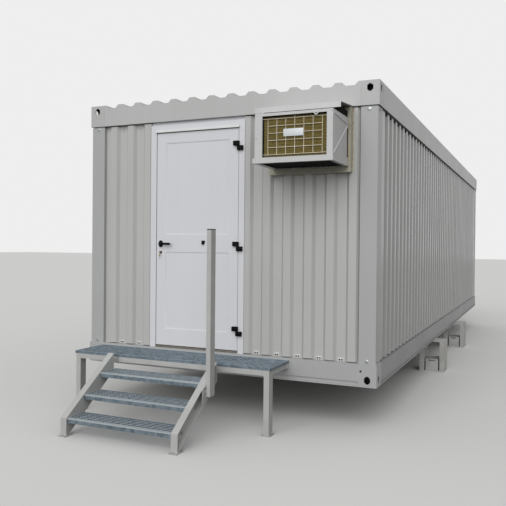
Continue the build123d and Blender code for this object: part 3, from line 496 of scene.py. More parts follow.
@dataclass(frozen=True)
class ZincCoat(Finish):
    """Hot-dip zinc on steel. The eye sees a dull skin of pale and dark crystal patches."""

    spangle: float = 14.0
    contrast: float = 0.4
    dull: str = "6f7b80"
    chalk: float = 0.12
    chalk_colour: str = "c3c8c8"
    upward_colour: str = ""

    def pattern(self, recipe: Recipe) -> None:
        """Crystal cells of uneven brightness under white, chalky patches, with faces that point up turned
        lighter.

        Args:
            recipe: Nodes of the material.
        """
        inputs = {"Vector": recipe.place, "Scale": 1 / (self.spangle * MM)}
        cells = recipe.add("TexVoronoi", inputs, feature="F1")["Color"]
        grey = recipe.add("SeparateColor", [cells])[0]
        base = recipe.stain(grey, self.contrast, self.colour, self.dull, FULL)
        base = recipe.stain(recipe.cloud(self.spangle * 3), self.chalk, base, self.chalk_colour)
        if self.upward_colour:
            upward = recipe.add("SeparateXYZ", [recipe.add("TexCoord")["Normal"]])[2]
            base = recipe.stain(upward, 0.85, base, self.upward_colour, (0.55, 0.95))
        rough = recipe.add("MapRange", (grey, *FULL, self.roughness - 0.08, self.roughness + 0.12))[0]
        bump = recipe.grain(self.spangle / 2, 0.05)
        recipe.add(recipe.shader, {"Base Color": base, "Roughness": rough, "Normal": bump})


@dataclass(frozen=True)
class Moulded(Finish):
    """Moulded nylon, rubber, mastic or vinyl. The eye sees a fine matt grain and faint patches.

    Sizes and depths are in millimetres; scuff is how far roughness falls and rises.
    """

    grain: float = 2.5
    grain_depth: float = 0.06
    patch: float = 60.0
    detail: float = 3.0
    sheen: float = 30.0
    scuff: Pair = (0.06, 0.08)
    bloom: str = "4a4a4a"
    bloom_share: float = 0.16

    def pattern(self, recipe: Recipe) -> None:
        """A fine grain in relief and a faint bloom where weather has dulled the surface.

        Args:
            recipe: Nodes of the material.
        """
        patches = recipe.cloud(self.patch, self.detail)
        smooth, rough = self.roughness - self.scuff[0], self.roughness + self.scuff[1]
        recipe.add(recipe.shader, {
            "Base Color": recipe.stain(patches, self.bloom_share, self.colour, self.bloom),
            "Roughness": recipe.add("MapRange", (recipe.cloud(self.sheen), *MIDDLE, smooth, rough))[0],
            "Normal": recipe.grain(self.grain, self.grain_depth)})


@dataclass(frozen=True)
class FinStock(Finish):
    """Aluminium fins that weather has turned olive. The eye sees dark bands where tubes pass behind."""

    tube_pitch: float = 25.0
    streak: float = 9.0
    band: str = "4a3e20"
    pale: str = "a3945c"

    def pattern(self, recipe: Recipe) -> None:
        """Level bands at the tubes' pitch, broken by upright streaks along the fins.

        Real fins stand about 2 mm apart; the streaks are drawn 9 mm wide, so that they show.
        The bands of the wave texture repeat each 2 pi / 20 of its input.

        Args:
            recipe: Nodes of the material.
        """
        scale = (1 / (self.tube_pitch * MM),) * 3
        place = recipe.add("Mapping", {"Vector": recipe.place, "Scale": scale})[0]
        inputs = {"Vector": place, "Scale": math.tau / 20, "Distortion": 0.6}
        wave = recipe.add("TexWave", inputs, bands_direction="Z")["Fac"]
        base = recipe.stain(wave, 0.7, self.colour, self.band, (0.35, 1.0))
        streaks = recipe.cloud(self.streak, 3.0, (1, 1, 2))
        recipe.add(recipe.shader, {"Base Color": recipe.stain(streaks, 0.6, base, self.pale)})


CLADDING = PaintedSteel("coil_coated_cladding", "b4b4b2", 0.3)
# the long sides' darker cladding is painted shade, for walls that face away from the key light
SHADED_SIDE_CLADDING = PaintedSteel("side_cladding_painted_shade", "9a9b9a", 0.22, wave_depth=0.15)
FRAME_PAINT = PaintedSteel("sprayed_frame_steel", "b3b4b3", 0.4)
# the posts, end base rails and lower blocks are a darker grey than the top rails and upper blocks
BASE_PAINT = PaintedSteel("sprayed_base_steel", "a5a6a6", 0.42)
# the long base rails' darker paint is painted shade, for faces turned from the light towards the ground
SHADED_SIDE_RAIL = PaintedSteel("side_rail_painted_shade", "888a8a", 0.4)
LOWER_BLOCKS = BlockPaint("sprayed_lower_blocks", "a6a7a7", 0.42, wave_depth=0.1)
UPPER_BLOCKS = BlockPaint("sprayed_upper_blocks", "b0b1b0", 0.4, wave_depth=0.1, node="upper_corner_blocks")
ROOF_COAT = PaintedSteel("coil_coated_roof", "adaeac", 0.45, patch_share=0.36)
DOOR_COAT = PaintedSteel("powder_coated_door", "cecfd3", 0.34, patch_share=0.08, wave_depth=0.15,
                         soil="a9aaac")
APPLIANCE = PaintedSteel("baked_enamel_case", "c0c1c1", 0.34, patch=180.0, wave=140.0, wave_depth=0.25,
                         soil="8f8c80")
PRIMER = PaintedSteel("beige_primed_frame", "b7b5a4", 0.6, patch=90.0, patch_share=0.48, soil="7e7562")
CLIP = PaintedSteel("white_coated_strip", "dcdddc", 0.35, patch=60.0)
STAIR_PAINT = PaintedSteel("painted_stair_steel", "b1b2b1", 0.5, patch=160.0, patch_share=0.32,
                           wave_depth=0.1, soil="85837a")
STOOL_PAINT = PaintedSteel("painted_stool_steel", "bcbcb9", 0.55, patch=140.0, patch_share=0.48,
                           wave_depth=0.1, soil="73706a")
LINING = PaintedSteel("white_lining_sheet", "dad9d6", 0.5, patch_share=0.08, streak_share=0.0)
GRATING = ZincCoat("hot_dip_galvanised_grating", "788792", 0.55, 0.5, spangle=30.0, contrast=0.7,
                   dull="424e57", upward_colour="c6d0d7")
NOSING = ZincCoat("bright_galvanised_nosing", "b4bbbe", 0.45, 0.5, dull="939b9f")
ZINC_PLATE = ZincCoat("zinc_plated_fastener", "a4a8aa", 0.35, 1.0, spangle=5.0, contrast=0.25)
STEEL = ZincCoat("satin_stainless_steel", "9b9b99", 0.28, 1.0, spangle=3.0, contrast=0.1)
BRASS = ZincCoat("worn_brass_key", "b29a62", 0.35, 1.0, spangle=4.0, dull="80693c", contrast=0.5)
SILL = ZincCoat("soiled_aluminium_sill", "6d675d", 0.55, 0.6, spangle=9.0, dull="6a6254")
BLACK_NYLON = Moulded("moulded_black_nylon", "050505", 0.5, specular=0.08, bloom="141414")
RUBBER = Moulded("extruded_black_rubber", "0e0e0f", 0.7, specular=0.2, bloom="242424")
# near black, for pieces whose black is painted shade: valley closures, the coil's edge strip and the blocks
# in and over the air conditioner's case
SHADE_FOAM = Moulded("black_shade_foam", "0c0c0c", 0.9, specular=0.1, grain=4.0, grain_depth=0.5, bloom="202020")
MASTIC = Moulded("gunned_beige_mastic", "a99c7c", 0.65, grain=12.0, grain_depth=0.6, bloom="74674c",
                 bloom_share=0.8)
PLASTIC = Moulded("moulded_white_plastic", "d6d5cf", 0.4, bloom="b9b49c")
LABEL = Moulded("bare_label_plate", "d3d8da", 0.3, bloom="a9b0b3")
WIRE = Moulded("dip_coated_wire", "d2c9b4", 0.38, grain=6.0, bloom="8e8467", bloom_share=0.4)
FINS = FinStock("weathered_aluminium_fins", "786a3a", 0.62)
FLOORING = Moulded("vinyl_floor_sheet", "8d8676", 0.45, grain_depth=0.0, patch=9.0, detail=4.0, sheen=260.0,
                   scuff=(0.08, 0.12), bloom="6d675c", bloom_share=0.6)

SLOT_FINISHES = {
    "frame_steel": FRAME_PAINT,
    "cladding": CLADDING,
    "roof_metal": ROOF_COAT,
    "door_paint": DOOR_COAT,
    "frame_paint": DOOR_COAT,
    "black_plastic": BLACK_NYLON,
    "lock_metal": STEEL,
    "ac_paint": APPLIANCE,
    "ac_plastic": PLASTIC,
    "coil_fins": FINS,
    "guard_wire": WIRE,
    "galvanised": GRATING,
    "stair_steel": STAIR_PAINT,
    "stool_steel": STOOL_PAINT,
    "floor_board": FLOORING,
    "ceiling_white": LINING,
}
POSTS = [f"corner_post_{end}_{side}" for end in ("front", "rear") for side in ("left", "right")]
NODE_FINISHES = {
    "ac_wall_frame": PRIMER,
    "lower_corner_blocks": LOWER_BLOCKS,
    "upper_corner_blocks": UPPER_BLOCKS,
    **dict.fromkeys(("side_wall_left", "side_wall_right"), SHADED_SIDE_CLADDING),
    **dict.fromkeys(("base_rail_left", "base_rail_right"), SHADED_SIDE_RAIL),
    **dict.fromkeys(("base_rail_front", "base_rail_rear", *POSTS), BASE_PAINT),
}


# Pieces


def placed(name: str, data: bpy.types.ID) -> bpy.types.Object:
    """Put a new object in the scene.

    Args:
        name: Its name.
        data: Its mesh, camera or light.

    Returns:
        The object.
    """
    holder = bpy.data.objects.new(name, data)
    bpy.context.scene.collection.objects.link(holder)
    return holder


def fit(name: str, forms: Iterable[Form], finish: Finish, body: str = "cabin",
        replaced: Sequence[str] = ()) -> None:
    """Make a piece from its forms, dress it and put it on its body.

    Args:
        name: Name of the piece.
        forms: Its shells, in place.
        finish: Its finish.
        body: The body that it moves with.
        replaced: Nodes that it stands for.
    """
    form = joined(forms)
    mesh = bpy.data.meshes.new(name)
    faces = [row for rows in form.faces for row in rows.tolist()]
    mesh.from_pydata((form.points * MM).tolist(), [], faces)
    shells = bmesh.new()
    shells.from_mesh(mesh)
    bmesh.ops.recalc_face_normals(shells, faces=shells.faces)
    shells.to_mesh(mesh)
    shells.free()
    mesh.shade_smooth()
    mesh.set_sharp_from_angle(angle=SHARP_ANGLE)
    mesh.materials.append(finish.material())
    piece = placed(name, mesh)
    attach(piece, body)
    if replaced:
        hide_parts(*replaced)
    LOG.info("%s: %d points on %s", name, len(form.points), body)


class Fastener(Enum):
    """Kinds of fastener; each value is its shells, as a (radius, height) profile and a number of flats."""

    FRAME_BOLT = ((((17, 0), (17, 2.5), (16, 3)), 16), (((11.5, 3.01), (11.5, 8), (10, 9.5)), 6))
    STAIR_BOLT = ((((14, 0), (14, 2), (13, 2.4)), 16), (((9.5, 2.41), (9.5, 8), (8, 9)), 6))
    SHEET_SCREW = ((((8, 0), (8, 1.2), (7, 2)), 16), (((5, 2.01), (5, 6), (4, 7)), 6))
    ROUND_SCREW = ((((5.5, 0), (5.5, 0.8), (4.6, 2.2), (2.6, 3.2), (0.5, 3.5)), 12),)

    def at(self, facing: Facing, places: Outline) -> Form:
        """Fasteners of this kind at several places on a surface, all pointing one way."""
        return joined(turned(*shell) for shell in self.value).aimed(facing).at(places)


@dataclass
class SteelFrame:
    """Bolts on the corner posts, the welds of the frame, and a black dome of painted shade in a drain hole.
    """

    bolt_from_foot: float = 22
    bolt_from_head: float = 30
    block: float = 162
    groove_top: float = 45
    beam_height: float = 177
    bead_radius: float = 3
    bead_step: float = 7
    bead_dip: float = 0.25
    bead_gap: float = 4
    plug_in: float = 138
    plug_rise: float = 135

    def make(self) -> None:
        """Make the pieces in order."""
        self.post_bolts()
        self.weld_beads()
        self.plug()

    def post_bolts(self) -> None:
        """Two bolts on each outer face of the four posts."""
        forms = []
        for facing in (FRONT, REAR, LEFT, RIGHT):
            for post in (name for name in POSTS if facing.name.lower() in name):
                x, y, _ = facing.surface(post)
                foot, head = box(post)[:, 2]
                places = [(x, y, foot + self.bolt_from_foot), (x, y, head - self.bolt_from_head)]
                forms.append(Fastener.FRAME_BOLT.at(facing, places))
        fit("post_bolts", forms, ZINC_PLATE)

    def weld_beads(self) -> None:
        """Upright weld beads where the rails meet the corner blocks.

        A bead's radius swells with the size of a sine along its height.
        """
        low, high = box("lower_corner_blocks")
        roof = box("top_rail_left")[0][2]
        outer_x, outer_y = (low[0], high[0]), (low[1], high[1] - self.bead_radius)
        inner_x, inner_y = ((start + self.block, end - self.block) for start, end in (outer_x, outer_y))
        places = [*product(inner_x, outer_y, [0]), *product(outer_x, inner_y, [0])]
        forms = []
        for foot, head in ((low[2] + self.groove_top, high[2]), (roof, roof + self.beam_height)):
            z = np.arange(foot + self.bead_gap, head - self.bead_gap, self.bead_step / 4)
            swell = np.abs(np.sin(np.pi * z / self.bead_step))
            radius = self.bead_radius * (1 - self.bead_dip + self.bead_dip * swell)
            path = np.column_stack((0 * z, 0 * z, z))
            forms.append(swept(path, circle(radius, 6), (1, 0, 0)).at(places))
        fit("weld_beads", forms, FRAME_PAINT)

    def plug(self) -> None:
        """A domed plug in the drain hole of the lower right front block, drawn black as the hole's painted
        shade.
        """
        low, high = box("lower_corner_blocks")
        dome = turned(((9, 0), (9, 1.5), (7, 3), (3, 3.6)), 16).aimed(FRONT)
        place = (high[0] - self.plug_in, low[1], low[2] + self.plug_rise)
        fit("drain_hole_shade_dome", [dome.at(place)], BLACK_NYLON)


@dataclass
class Cladding:
    """Screws, clips, foam and lap seams of the ribbed sheets.

    The fields repeat the sheets' rib layout: pitch, valley middle and the place of one rising
    slope, measured from the left or front end of the cabin.
    """

    depth: float = 30
    valley_margin: float = 20
    end_pitch: float = 202
    end_valley: float = 148.5
    end_floor: float = 82
    end_starts: Pair = (225, 1918)
    side_pitch: float = 178
    side_valley: float = 136
    side_floor: float = 52
    side_slope: float = 32
    side_start: float = 397
    side_crest_end: float = 78
    roof_pitch: float = 207
    roof_rib: float = 32
    roof_margin: float = 60
    roof_edge: float = 0.3
    roof_rows: int = 7
    screw_rise: float = 19
    screw_drop: float = 40
    screw_gap: float = 11
    seam_ribs: tuple[int, ...] = (8, 18, 28, 38)
    seam_width: float = 16
    seam_proud: float = 1.5
    seam_margin: float = 10
    head_gap: float = 9
    clip_half: Pair = (24, 14)
    clip_round: float = 1.2
    clip_thick: float = 2.5
    clip_lip: Pair = (8, 5)
    closure: float = 18
    closure_back: float = 6

    def make(self) -> None:
        """Make the pieces in order."""
        self.sheet_screws()
        self.lap_seams()
        self.roof_screws()
        self.foot_clips()
        self.shade_foam_closures()

    def valleys(self, facing: Facing) -> list[tuple[float, float, float, float]]:
        """Work out the valley floors on one side of the cabin.

        Args:
            facing: The side.

        Returns:
            The x, y, foot and head of each valley.
        """
        left, front, _ = box("lower_corner_blocks")[0]
        ends = [left + start + self.end_valley for start in self.end_starts]
        middle = box("rear_wall")[:, 0].mean()
        side = front + self.side_start + self.side_valley
        firsts = {
            FRONT: {"front_wall_left": ends[0], "front_wall_right": ends[1]},
            REAR: {"rear_wall": middle + self.end_pitch / 2},
            LEFT: {"side_wall_left": side},
            RIGHT: {"side_wall_right": side},
        }
        along = 0 if facing in (FRONT, REAR) else 1
        pitch = (self.end_pitch, self.side_pitch)[along]
        rows = []
        for node, first in firsts[facing].items():
            low, high = box(node)
            start = math.ceil((low[along] + self.valley_margin - first) / pitch)
            stop = math.floor((high[along] - self.valley_margin - first) / pitch)
            x, y, _ = facing.surface(node) - np.multiply(self.depth, facing.value)
            for place in first + pitch * np.arange(start, stop + 1):
                rows.append((x, place, low[2], high[2]) if along else (place, y, low[2], high[2]))
        return rows

    def sheet_screws(self) -> None:
        """Screws in the valleys: one at each head, and at the foot one on the sides or two at the rear.

        The wall frame of the air conditioner covers some heads at the front, and clips hold the feet.
        """
        low, high = box("ac_wall_frame")[:, 0] + (-self.end_floor / 2, self.end_floor / 2)
        feet = {FRONT: (), REAR: (-1, 1), LEFT: (0,), RIGHT: (0,)}
        forms = []
        for facing, sides in feet.items():
            places = []
            for x, y, foot, head in self.valleys(facing):
                foot += self.head_gap + self.screw_rise
                places += [(x + side * self.screw_gap, y, foot) for side in sides]
                if facing is not FRONT or not low < x < high:
                    places.append((x, y, head - self.screw_drop))
            forms.append(Fastener.SHEET_SCREW.at(facing, places))
        fit("sheet_screws", forms, ZINC_PLATE)

    def lap_seams(self) -> None:
        """Edges of the lapped sheets on the long sides: a flat strip along one edge of a crest."""
        first = box("lower_corner_blocks")[0][1] + self.side_start + self.side_crest_end - self.seam_width
        places = [(0, first + number * self.side_pitch, 0) for number in self.seam_ribs]
        forms = []
        for node, (end, out) in zip(("side_wall_left", "side_wall_right"), ENDS):
            foot, head = box(node)[:, 2] + (self.seam_margin, -self.seam_margin)
            face = box(node)[end][0]
            strip = block((face - out * SINK, 0, foot), (face + out * self.seam_proud, self.seam_width, head))
            forms.append(strip.at(places))
        fit("sheet_lap_seams", forms, SHADED_SIDE_CLADDING)

    def roof_screws(self) -> None:
        """Rows of screws in the roof's valleys, one of them along its middle.

        Each side has as many rows as whole pitches fit in half the roof's width, less a share of one.
        """
        low, high = box("roof_sheet")
        half = math.floor((high[0] - low[0]) / self.roof_pitch / 2 - self.roof_edge)
        xs = (low[0] + high[0]) / 2 + np.arange(-half, half + 1) * self.roof_pitch
        ys = np.linspace(low[1] + self.roof_margin, high[1] - self.roof_margin, self.roof_rows)
        places = [(x, y, high[2] - self.roof_rib - SINK) for y in ys for x in xs]
        fit("roof_screws", [Fastener.SHEET_SCREW.at(UP, places)], ZINC_PLATE)

    def foot_clips(self) -> None:
        """A bright clip with two black-capped screws at the foot of each front valley."""
        rows = [(x, y, foot + self.screw_rise) for x, y, foot, _ in self.valleys(FRONT)]
        (wide, tall), (low, proud), thick = self.clip_half, self.clip_lip, self.clip_thick
        shells = (block((-wide, -tall, -SINK), (wide, tall, thick), self.clip_round, 2),
                  block((-wide, low, thick - 0.5), (wide, tall, proud), self.clip_round, 2))
        fit("sheet_foot_clips", [shell.aimed(FRONT).at(rows) for shell in shells], CLIP)
        places = [(x + side * self.screw_gap, y - thick + SINK, z - 3)
                  for x, y, z in rows for side in (-1, 1)]
        screws = Fastener.SHEET_SCREW.at(FRONT, places)
        fit("foot_clip_screws", [screws], BLACK_NYLON)

    def shade_foam_closures(self) -> None:
        """Foam closures that fill the valleys of the long sides under the top rails, drawn black as painted
        shade under the rails.

        From above each block is a trapezoid that follows the valley's floor and slopes up to a
        little behind the crests.
        """
        floor, out = self.side_floor / 2, self.depth - self.closure_back
        wide = floor + self.side_slope * out / self.depth
        rings = np.array([[(-floor, z, -SINK), (floor, z, -SINK), (wide, z, out), (-wide, z, out)]
                          for z in (-self.head_gap - self.closure, -1)])
        forms = [skin(rings).aimed(facing).at([(x, y, head) for x, y, _, head in self.valleys(facing)])
                 for facing in (LEFT, RIGHT)]
        fit("shade_foam_closures", forms, SHADE_FOAM)


@dataclass
class Entrance:
    """The door's mouldings, seals, hinges, lever and lock."""

    stile: float = 99
    top_rail: float = 95
    bottom_rail: float = 159
    mid_rail: Pair = (915, 1080)
    recess: float = 6
    bead: Pair = (9, 5.4)
    seal_out: float = 4
    seal_back: float = 5
    hinge_from_foot: Pair = (181, 972)
    hinge_from_head: float = 164
    hinge_height: float = 43
    hinge_slip: float = 1
    hinge_edge: float = 3.5
    knuckle: float = 13
    lever_height: float = 991
    backset: float = 47
    lever_length: float = 130
    lever_bend: float = 16
    grip: float = 10
    grip_root: float = 0.86
    tip_start: float = 0.96
    tip_narrowing: float = 0.55
    grip_shape: Pair = (1.2, 1.0)
    rosette: float = 30
    rosette_proud: float = 8
    rosette_shape: Pair = (0.88, 1.13)
    cylinder_drop: float = 83
    gap: float = 6
    sill: float = 20
    stop: float = 15
    drip_over: float = 12
    hook_from_hinge: float = 367
    hook_rise: float = 14
    key_half: float = 1.2
    key_out: float = 12
    key_hang: float = 34
    ring: float = 12

    def make(self) -> None:
        """Make the pieces in order."""
        self.panel_beads()
        self.door_seal()
        self.drip_bar()
        self.threshold()
        self.hinges()
        self.lever()
        self.key()
        self.lock()

    def panel_beads(self) -> None:
        """A bead in the corner of each sunk panel, on both faces.

        Its outline is a right angle closed by a quarter of an ellipse.
        """
        low, high = box("door_leaf")
        t = np.linspace(0, np.pi / 2, 5)
        outline = np.concatenate(([(0, 0)], np.column_stack((np.sin(t), np.cos(t))) * self.bead))
        left, right = low[0] + self.stile, high[0] - self.stile
        heights = ((low[2] + self.bottom_rail, low[2] + self.mid_rail[0]),
                   (low[2] + self.mid_rail[1], high[2] - self.top_rail))
        forms = [border((left, foot), (right, head), outline, face - side * self.recess, side)
                 for foot, head in heights for face, side in ((low[1], -1), (high[1], 1))]
        fit("door_panel_beads", forms, DOOR_COAT, "door")

    def door_seal(self) -> None:
        """A rubber seal on the frame's stop: a strip with a rounded front, all round the doorway."""
        low, high = box("door_leaf")
        strip = ((0, 0), (12, 0), (12, 2), (9, 4), (3, 4), (0, 2))
        form = border(low[::2] - self.seal_out, high[::2] + self.seal_out, strip, high[1] + self.seal_back)
        fit("door_seal", [form], RUBBER)

    def drip_bar(self) -> None:
        """A folded strip over the leaf that sheds rain: it slopes out and turns down to a lip."""
        low, high = box("door_leaf")
        fold = ((0, 0), (0, 17), (-16, 12), (-16, -1), (-14, -1), (-14, 10), (-2, 14), (-2, 0))
        form = run((low[0] - self.drip_over, high[0] + self.drip_over), fold, RIGHT)
        place = (0, box("door_frame")[0][1] + SINK, high[2] + self.gap + 1)
        fit("door_drip_bar", [form.at(place)], CLIP)

    def threshold(self) -> None:
        """A ribbed plate behind the leaf, a soiled nosing before the sill and a seal under the leaf, whose
        black is also painted shade for the gap.
        """
        (left, _, _), (right, rear, _) = box("door_leaf")
        (_, outer, foot), (_, inner, _) = box("door_frame")
        sill = foot + self.sill
        top = sill + self.stop
        plate = block((left + 10, rear + 7, top - SINK), (right - 10, inner - 2, top + 1.5), 0.7, 1)
        rib = block((left + 12, -1, top), (right - 12, 1, top + 3), 0.8, 2)
        ribs = rib.at([(0, y, 0) for y in np.linspace(rear + 11, inner - 6, 6)])
        fit("threshold_plate", [plate, ribs], STEEL)
        outline = ((SINK, 2), (-4, 2), (-4, self.sill - 3), (-2, self.sill), (SINK, self.sill))
        nosing = run((left - self.gap, right + self.gap), outline, RIGHT).at((0, outer, foot))
        fit("sill_nosing", [nosing], SILL)
        # black rubber strip, also painted shade for the gap under the leaf
        strip = block((left - self.gap + 1, outer + 1, sill - SINK),
                      (right + self.gap - 1, rear, sill + 0.8), 0.4, 1)
        fit("sill_rubber_and_gap_shade", [strip], RUBBER)

    def hinges(self) -> None:
        """Rounded nylon hinge blocks: the leaf's above, the frame's below, turning on one knuckle."""
        leaf_low, leaf_high = box("hinge_leaf_blocks")
        frame_low, frame_high = box("hinge_frame_blocks")
        foot, head = box("door_leaf")[:, 2]
        x, y = leaf_high[0] - self.knuckle, leaf_low[1] + self.knuckle
        barrel, tall, edge = self.knuckle, self.hinge_height, self.hinge_edge
        upper = turned(((barrel - 1.5, 0), (barrel, 1.5), (barrel, tall - 2), (barrel - 2, tall)), 24)
        pin = turned(((5, 0), (5, tall), (3, tall + 1)), 16)
        leaf_forms, frame_forms = [], []
        for split in (*(foot + rise for rise in self.hinge_from_foot), head - self.hinge_from_head):
            z, bottom = split + self.hinge_slip, split - tall
            leaf_forms += [upper.at((x, y, z)), block((*leaf_low[:2], z), (x, leaf_high[1], z + tall), edge)]
            frame_forms += [upper.at((x, y, bottom)), pin.at((x, y, split)),
                            block((x, frame_low[1], bottom), (*frame_high[:2], split), edge)]
        fit("hinge_caps_leaf", leaf_forms, BLACK_NYLON, "door", ["hinge_leaf_blocks"])
        fit("hinge_caps_frame", frame_forms, BLACK_NYLON, "cabin", ["hinge_frame_blocks"])

    def lever(self) -> None:
        """Lever pair: on each face a neck leaves the rosette and bends into a round grip.

        The grip is a circle carried along the neck's bent path; it narrows near its tip.
        """
        leaf = box("door_leaf")
        x, z = leaf[0][0] + self.backset, leaf[0][2] + self.lever_height
        forms = []
        for end, side in ENDS:
            face, line = leaf[end][1], box("door_lever")[end][1] - side * self.grip
            path = bent(((x, face, z), (x, line, z), (x + self.lever_length, line, z)), self.lever_bend)
            along = np.linspace(0, 1, 9)[1:, None]
            path = np.concatenate((path[:-1], path[-2] + along * (path[-1] - path[-2])))
            share = np.clip((path[:, 0] - x) / self.lever_length, 0, 1)
            tip = np.clip(share - self.tip_start, 0, 1) / (1 - self.tip_start)
            radius = self.grip * (self.grip_root + (1 - self.grip_root) * share - self.tip_narrowing * tip)
            forms.append(swept(path, circle(radius, 18) * self.grip_shape, (0, 0, 1)))
        fit("lever_pair", forms, BLACK_NYLON, "lever", ["door_lever"])

    def lock(self) -> None:
        """Domed rosettes, key cylinders with oval plates, and the small stay hook on the mid rail."""
        leaf = box("door_leaf")
        x, z = leaf[0][0] + self.backset, leaf[0][2] + self.lever_height
        drop, face = z - self.cylinder_drop, leaf[0][1]
        wide, proud = self.rosette, self.rosette_proud
        dome = turned(((wide, 0), (wide, proud * 0.5), (wide * 0.93, proud * 0.85), (wide * 0.75, proud),
                       (12, proud), (10.5, proud * 1.6), (9, proud * 1.6), (8.8, proud * 0.4)), 32)
        dome.points[:, :2] *= self.rosette_shape
        plate = turned(((14, 0), (14, 4), (12.5, 6), (9.5, 6.01)), 24)
        slit = block((-1, -5, 8.5), (1, 5, 9.3))
        key_way = turned(((8, 0), (8, 8), (7, 9)), 20)
        black, steel = [], []
        for facing, y in ((FRONT, face), (REAR, leaf[1][1])):
            black += [dome.aimed(facing).at((x, y, z)), joined((plate, slit)).aimed(facing).at((x, y, drop))]
            steel.append(key_way.aimed(facing).at((x, y, drop)))
        fit("lock_cylinders", steel, STEEL, "door", ["lock_fittings"])
        x = box("hinge_leaf_blocks")[1][0] - self.knuckle - self.hook_from_hinge
        z += self.hook_rise
        outline = ((-21, 19), (21, 19), (17, 2), (8, -21), (-8, -21), (-17, 2))
        black.append(run((0, 5, 8, 13), outline, FRONT, (1.0, 1.0, 0.8, 0.55)).at((x, face, z)))
        path = bent(((x, face, z + 6), (x, face - 28, z + 6), (x, face - 28, z - 16)), 9)
        black.append(swept(path, circle(6, 12), (1, 0, 0)))
        fit("lock_rosettes", black, BLACK_NYLON, "door", ["lock_fittings"])

    def key(self) -> None:
        """A key left in the outer cylinder, with a second one on its ring.

        Each key is a flat bow and a notched blade; the ring is a circle carried round a circle.
        """
        x, y, z = box("door_leaf")[0] + (self.backset, -9, self.lever_height - self.cylinder_drop)
        blade = ((-3, 0), (-3, -22), (-1, -24), (2, -22), (1, -18), (3, -15), (2, -11), (3, -7), (3, 0))
        flat_bow = circle(11, 16) * (1.0, 0.8)
        held, hanging, notched = (run((-self.key_half, self.key_half), outline, RIGHT)
                                  for outline in (flat_bow, flat_bow + (0, 7), blade))
        path = np.column_stack((np.zeros(24), circle(self.ring, 24)))
        out = y - self.key_out
        ring = swept(path, circle(1.2, 8), (1, 0, 0), closed=True).at((x, out, z - self.ring))
        forms = [held.at((x, y - 10, z)), ring]
        forms += [form.at((x, out, z - self.key_hang)) for form in (hanging, notched)]
        fit("door_keys", forms, BRASS, "door")


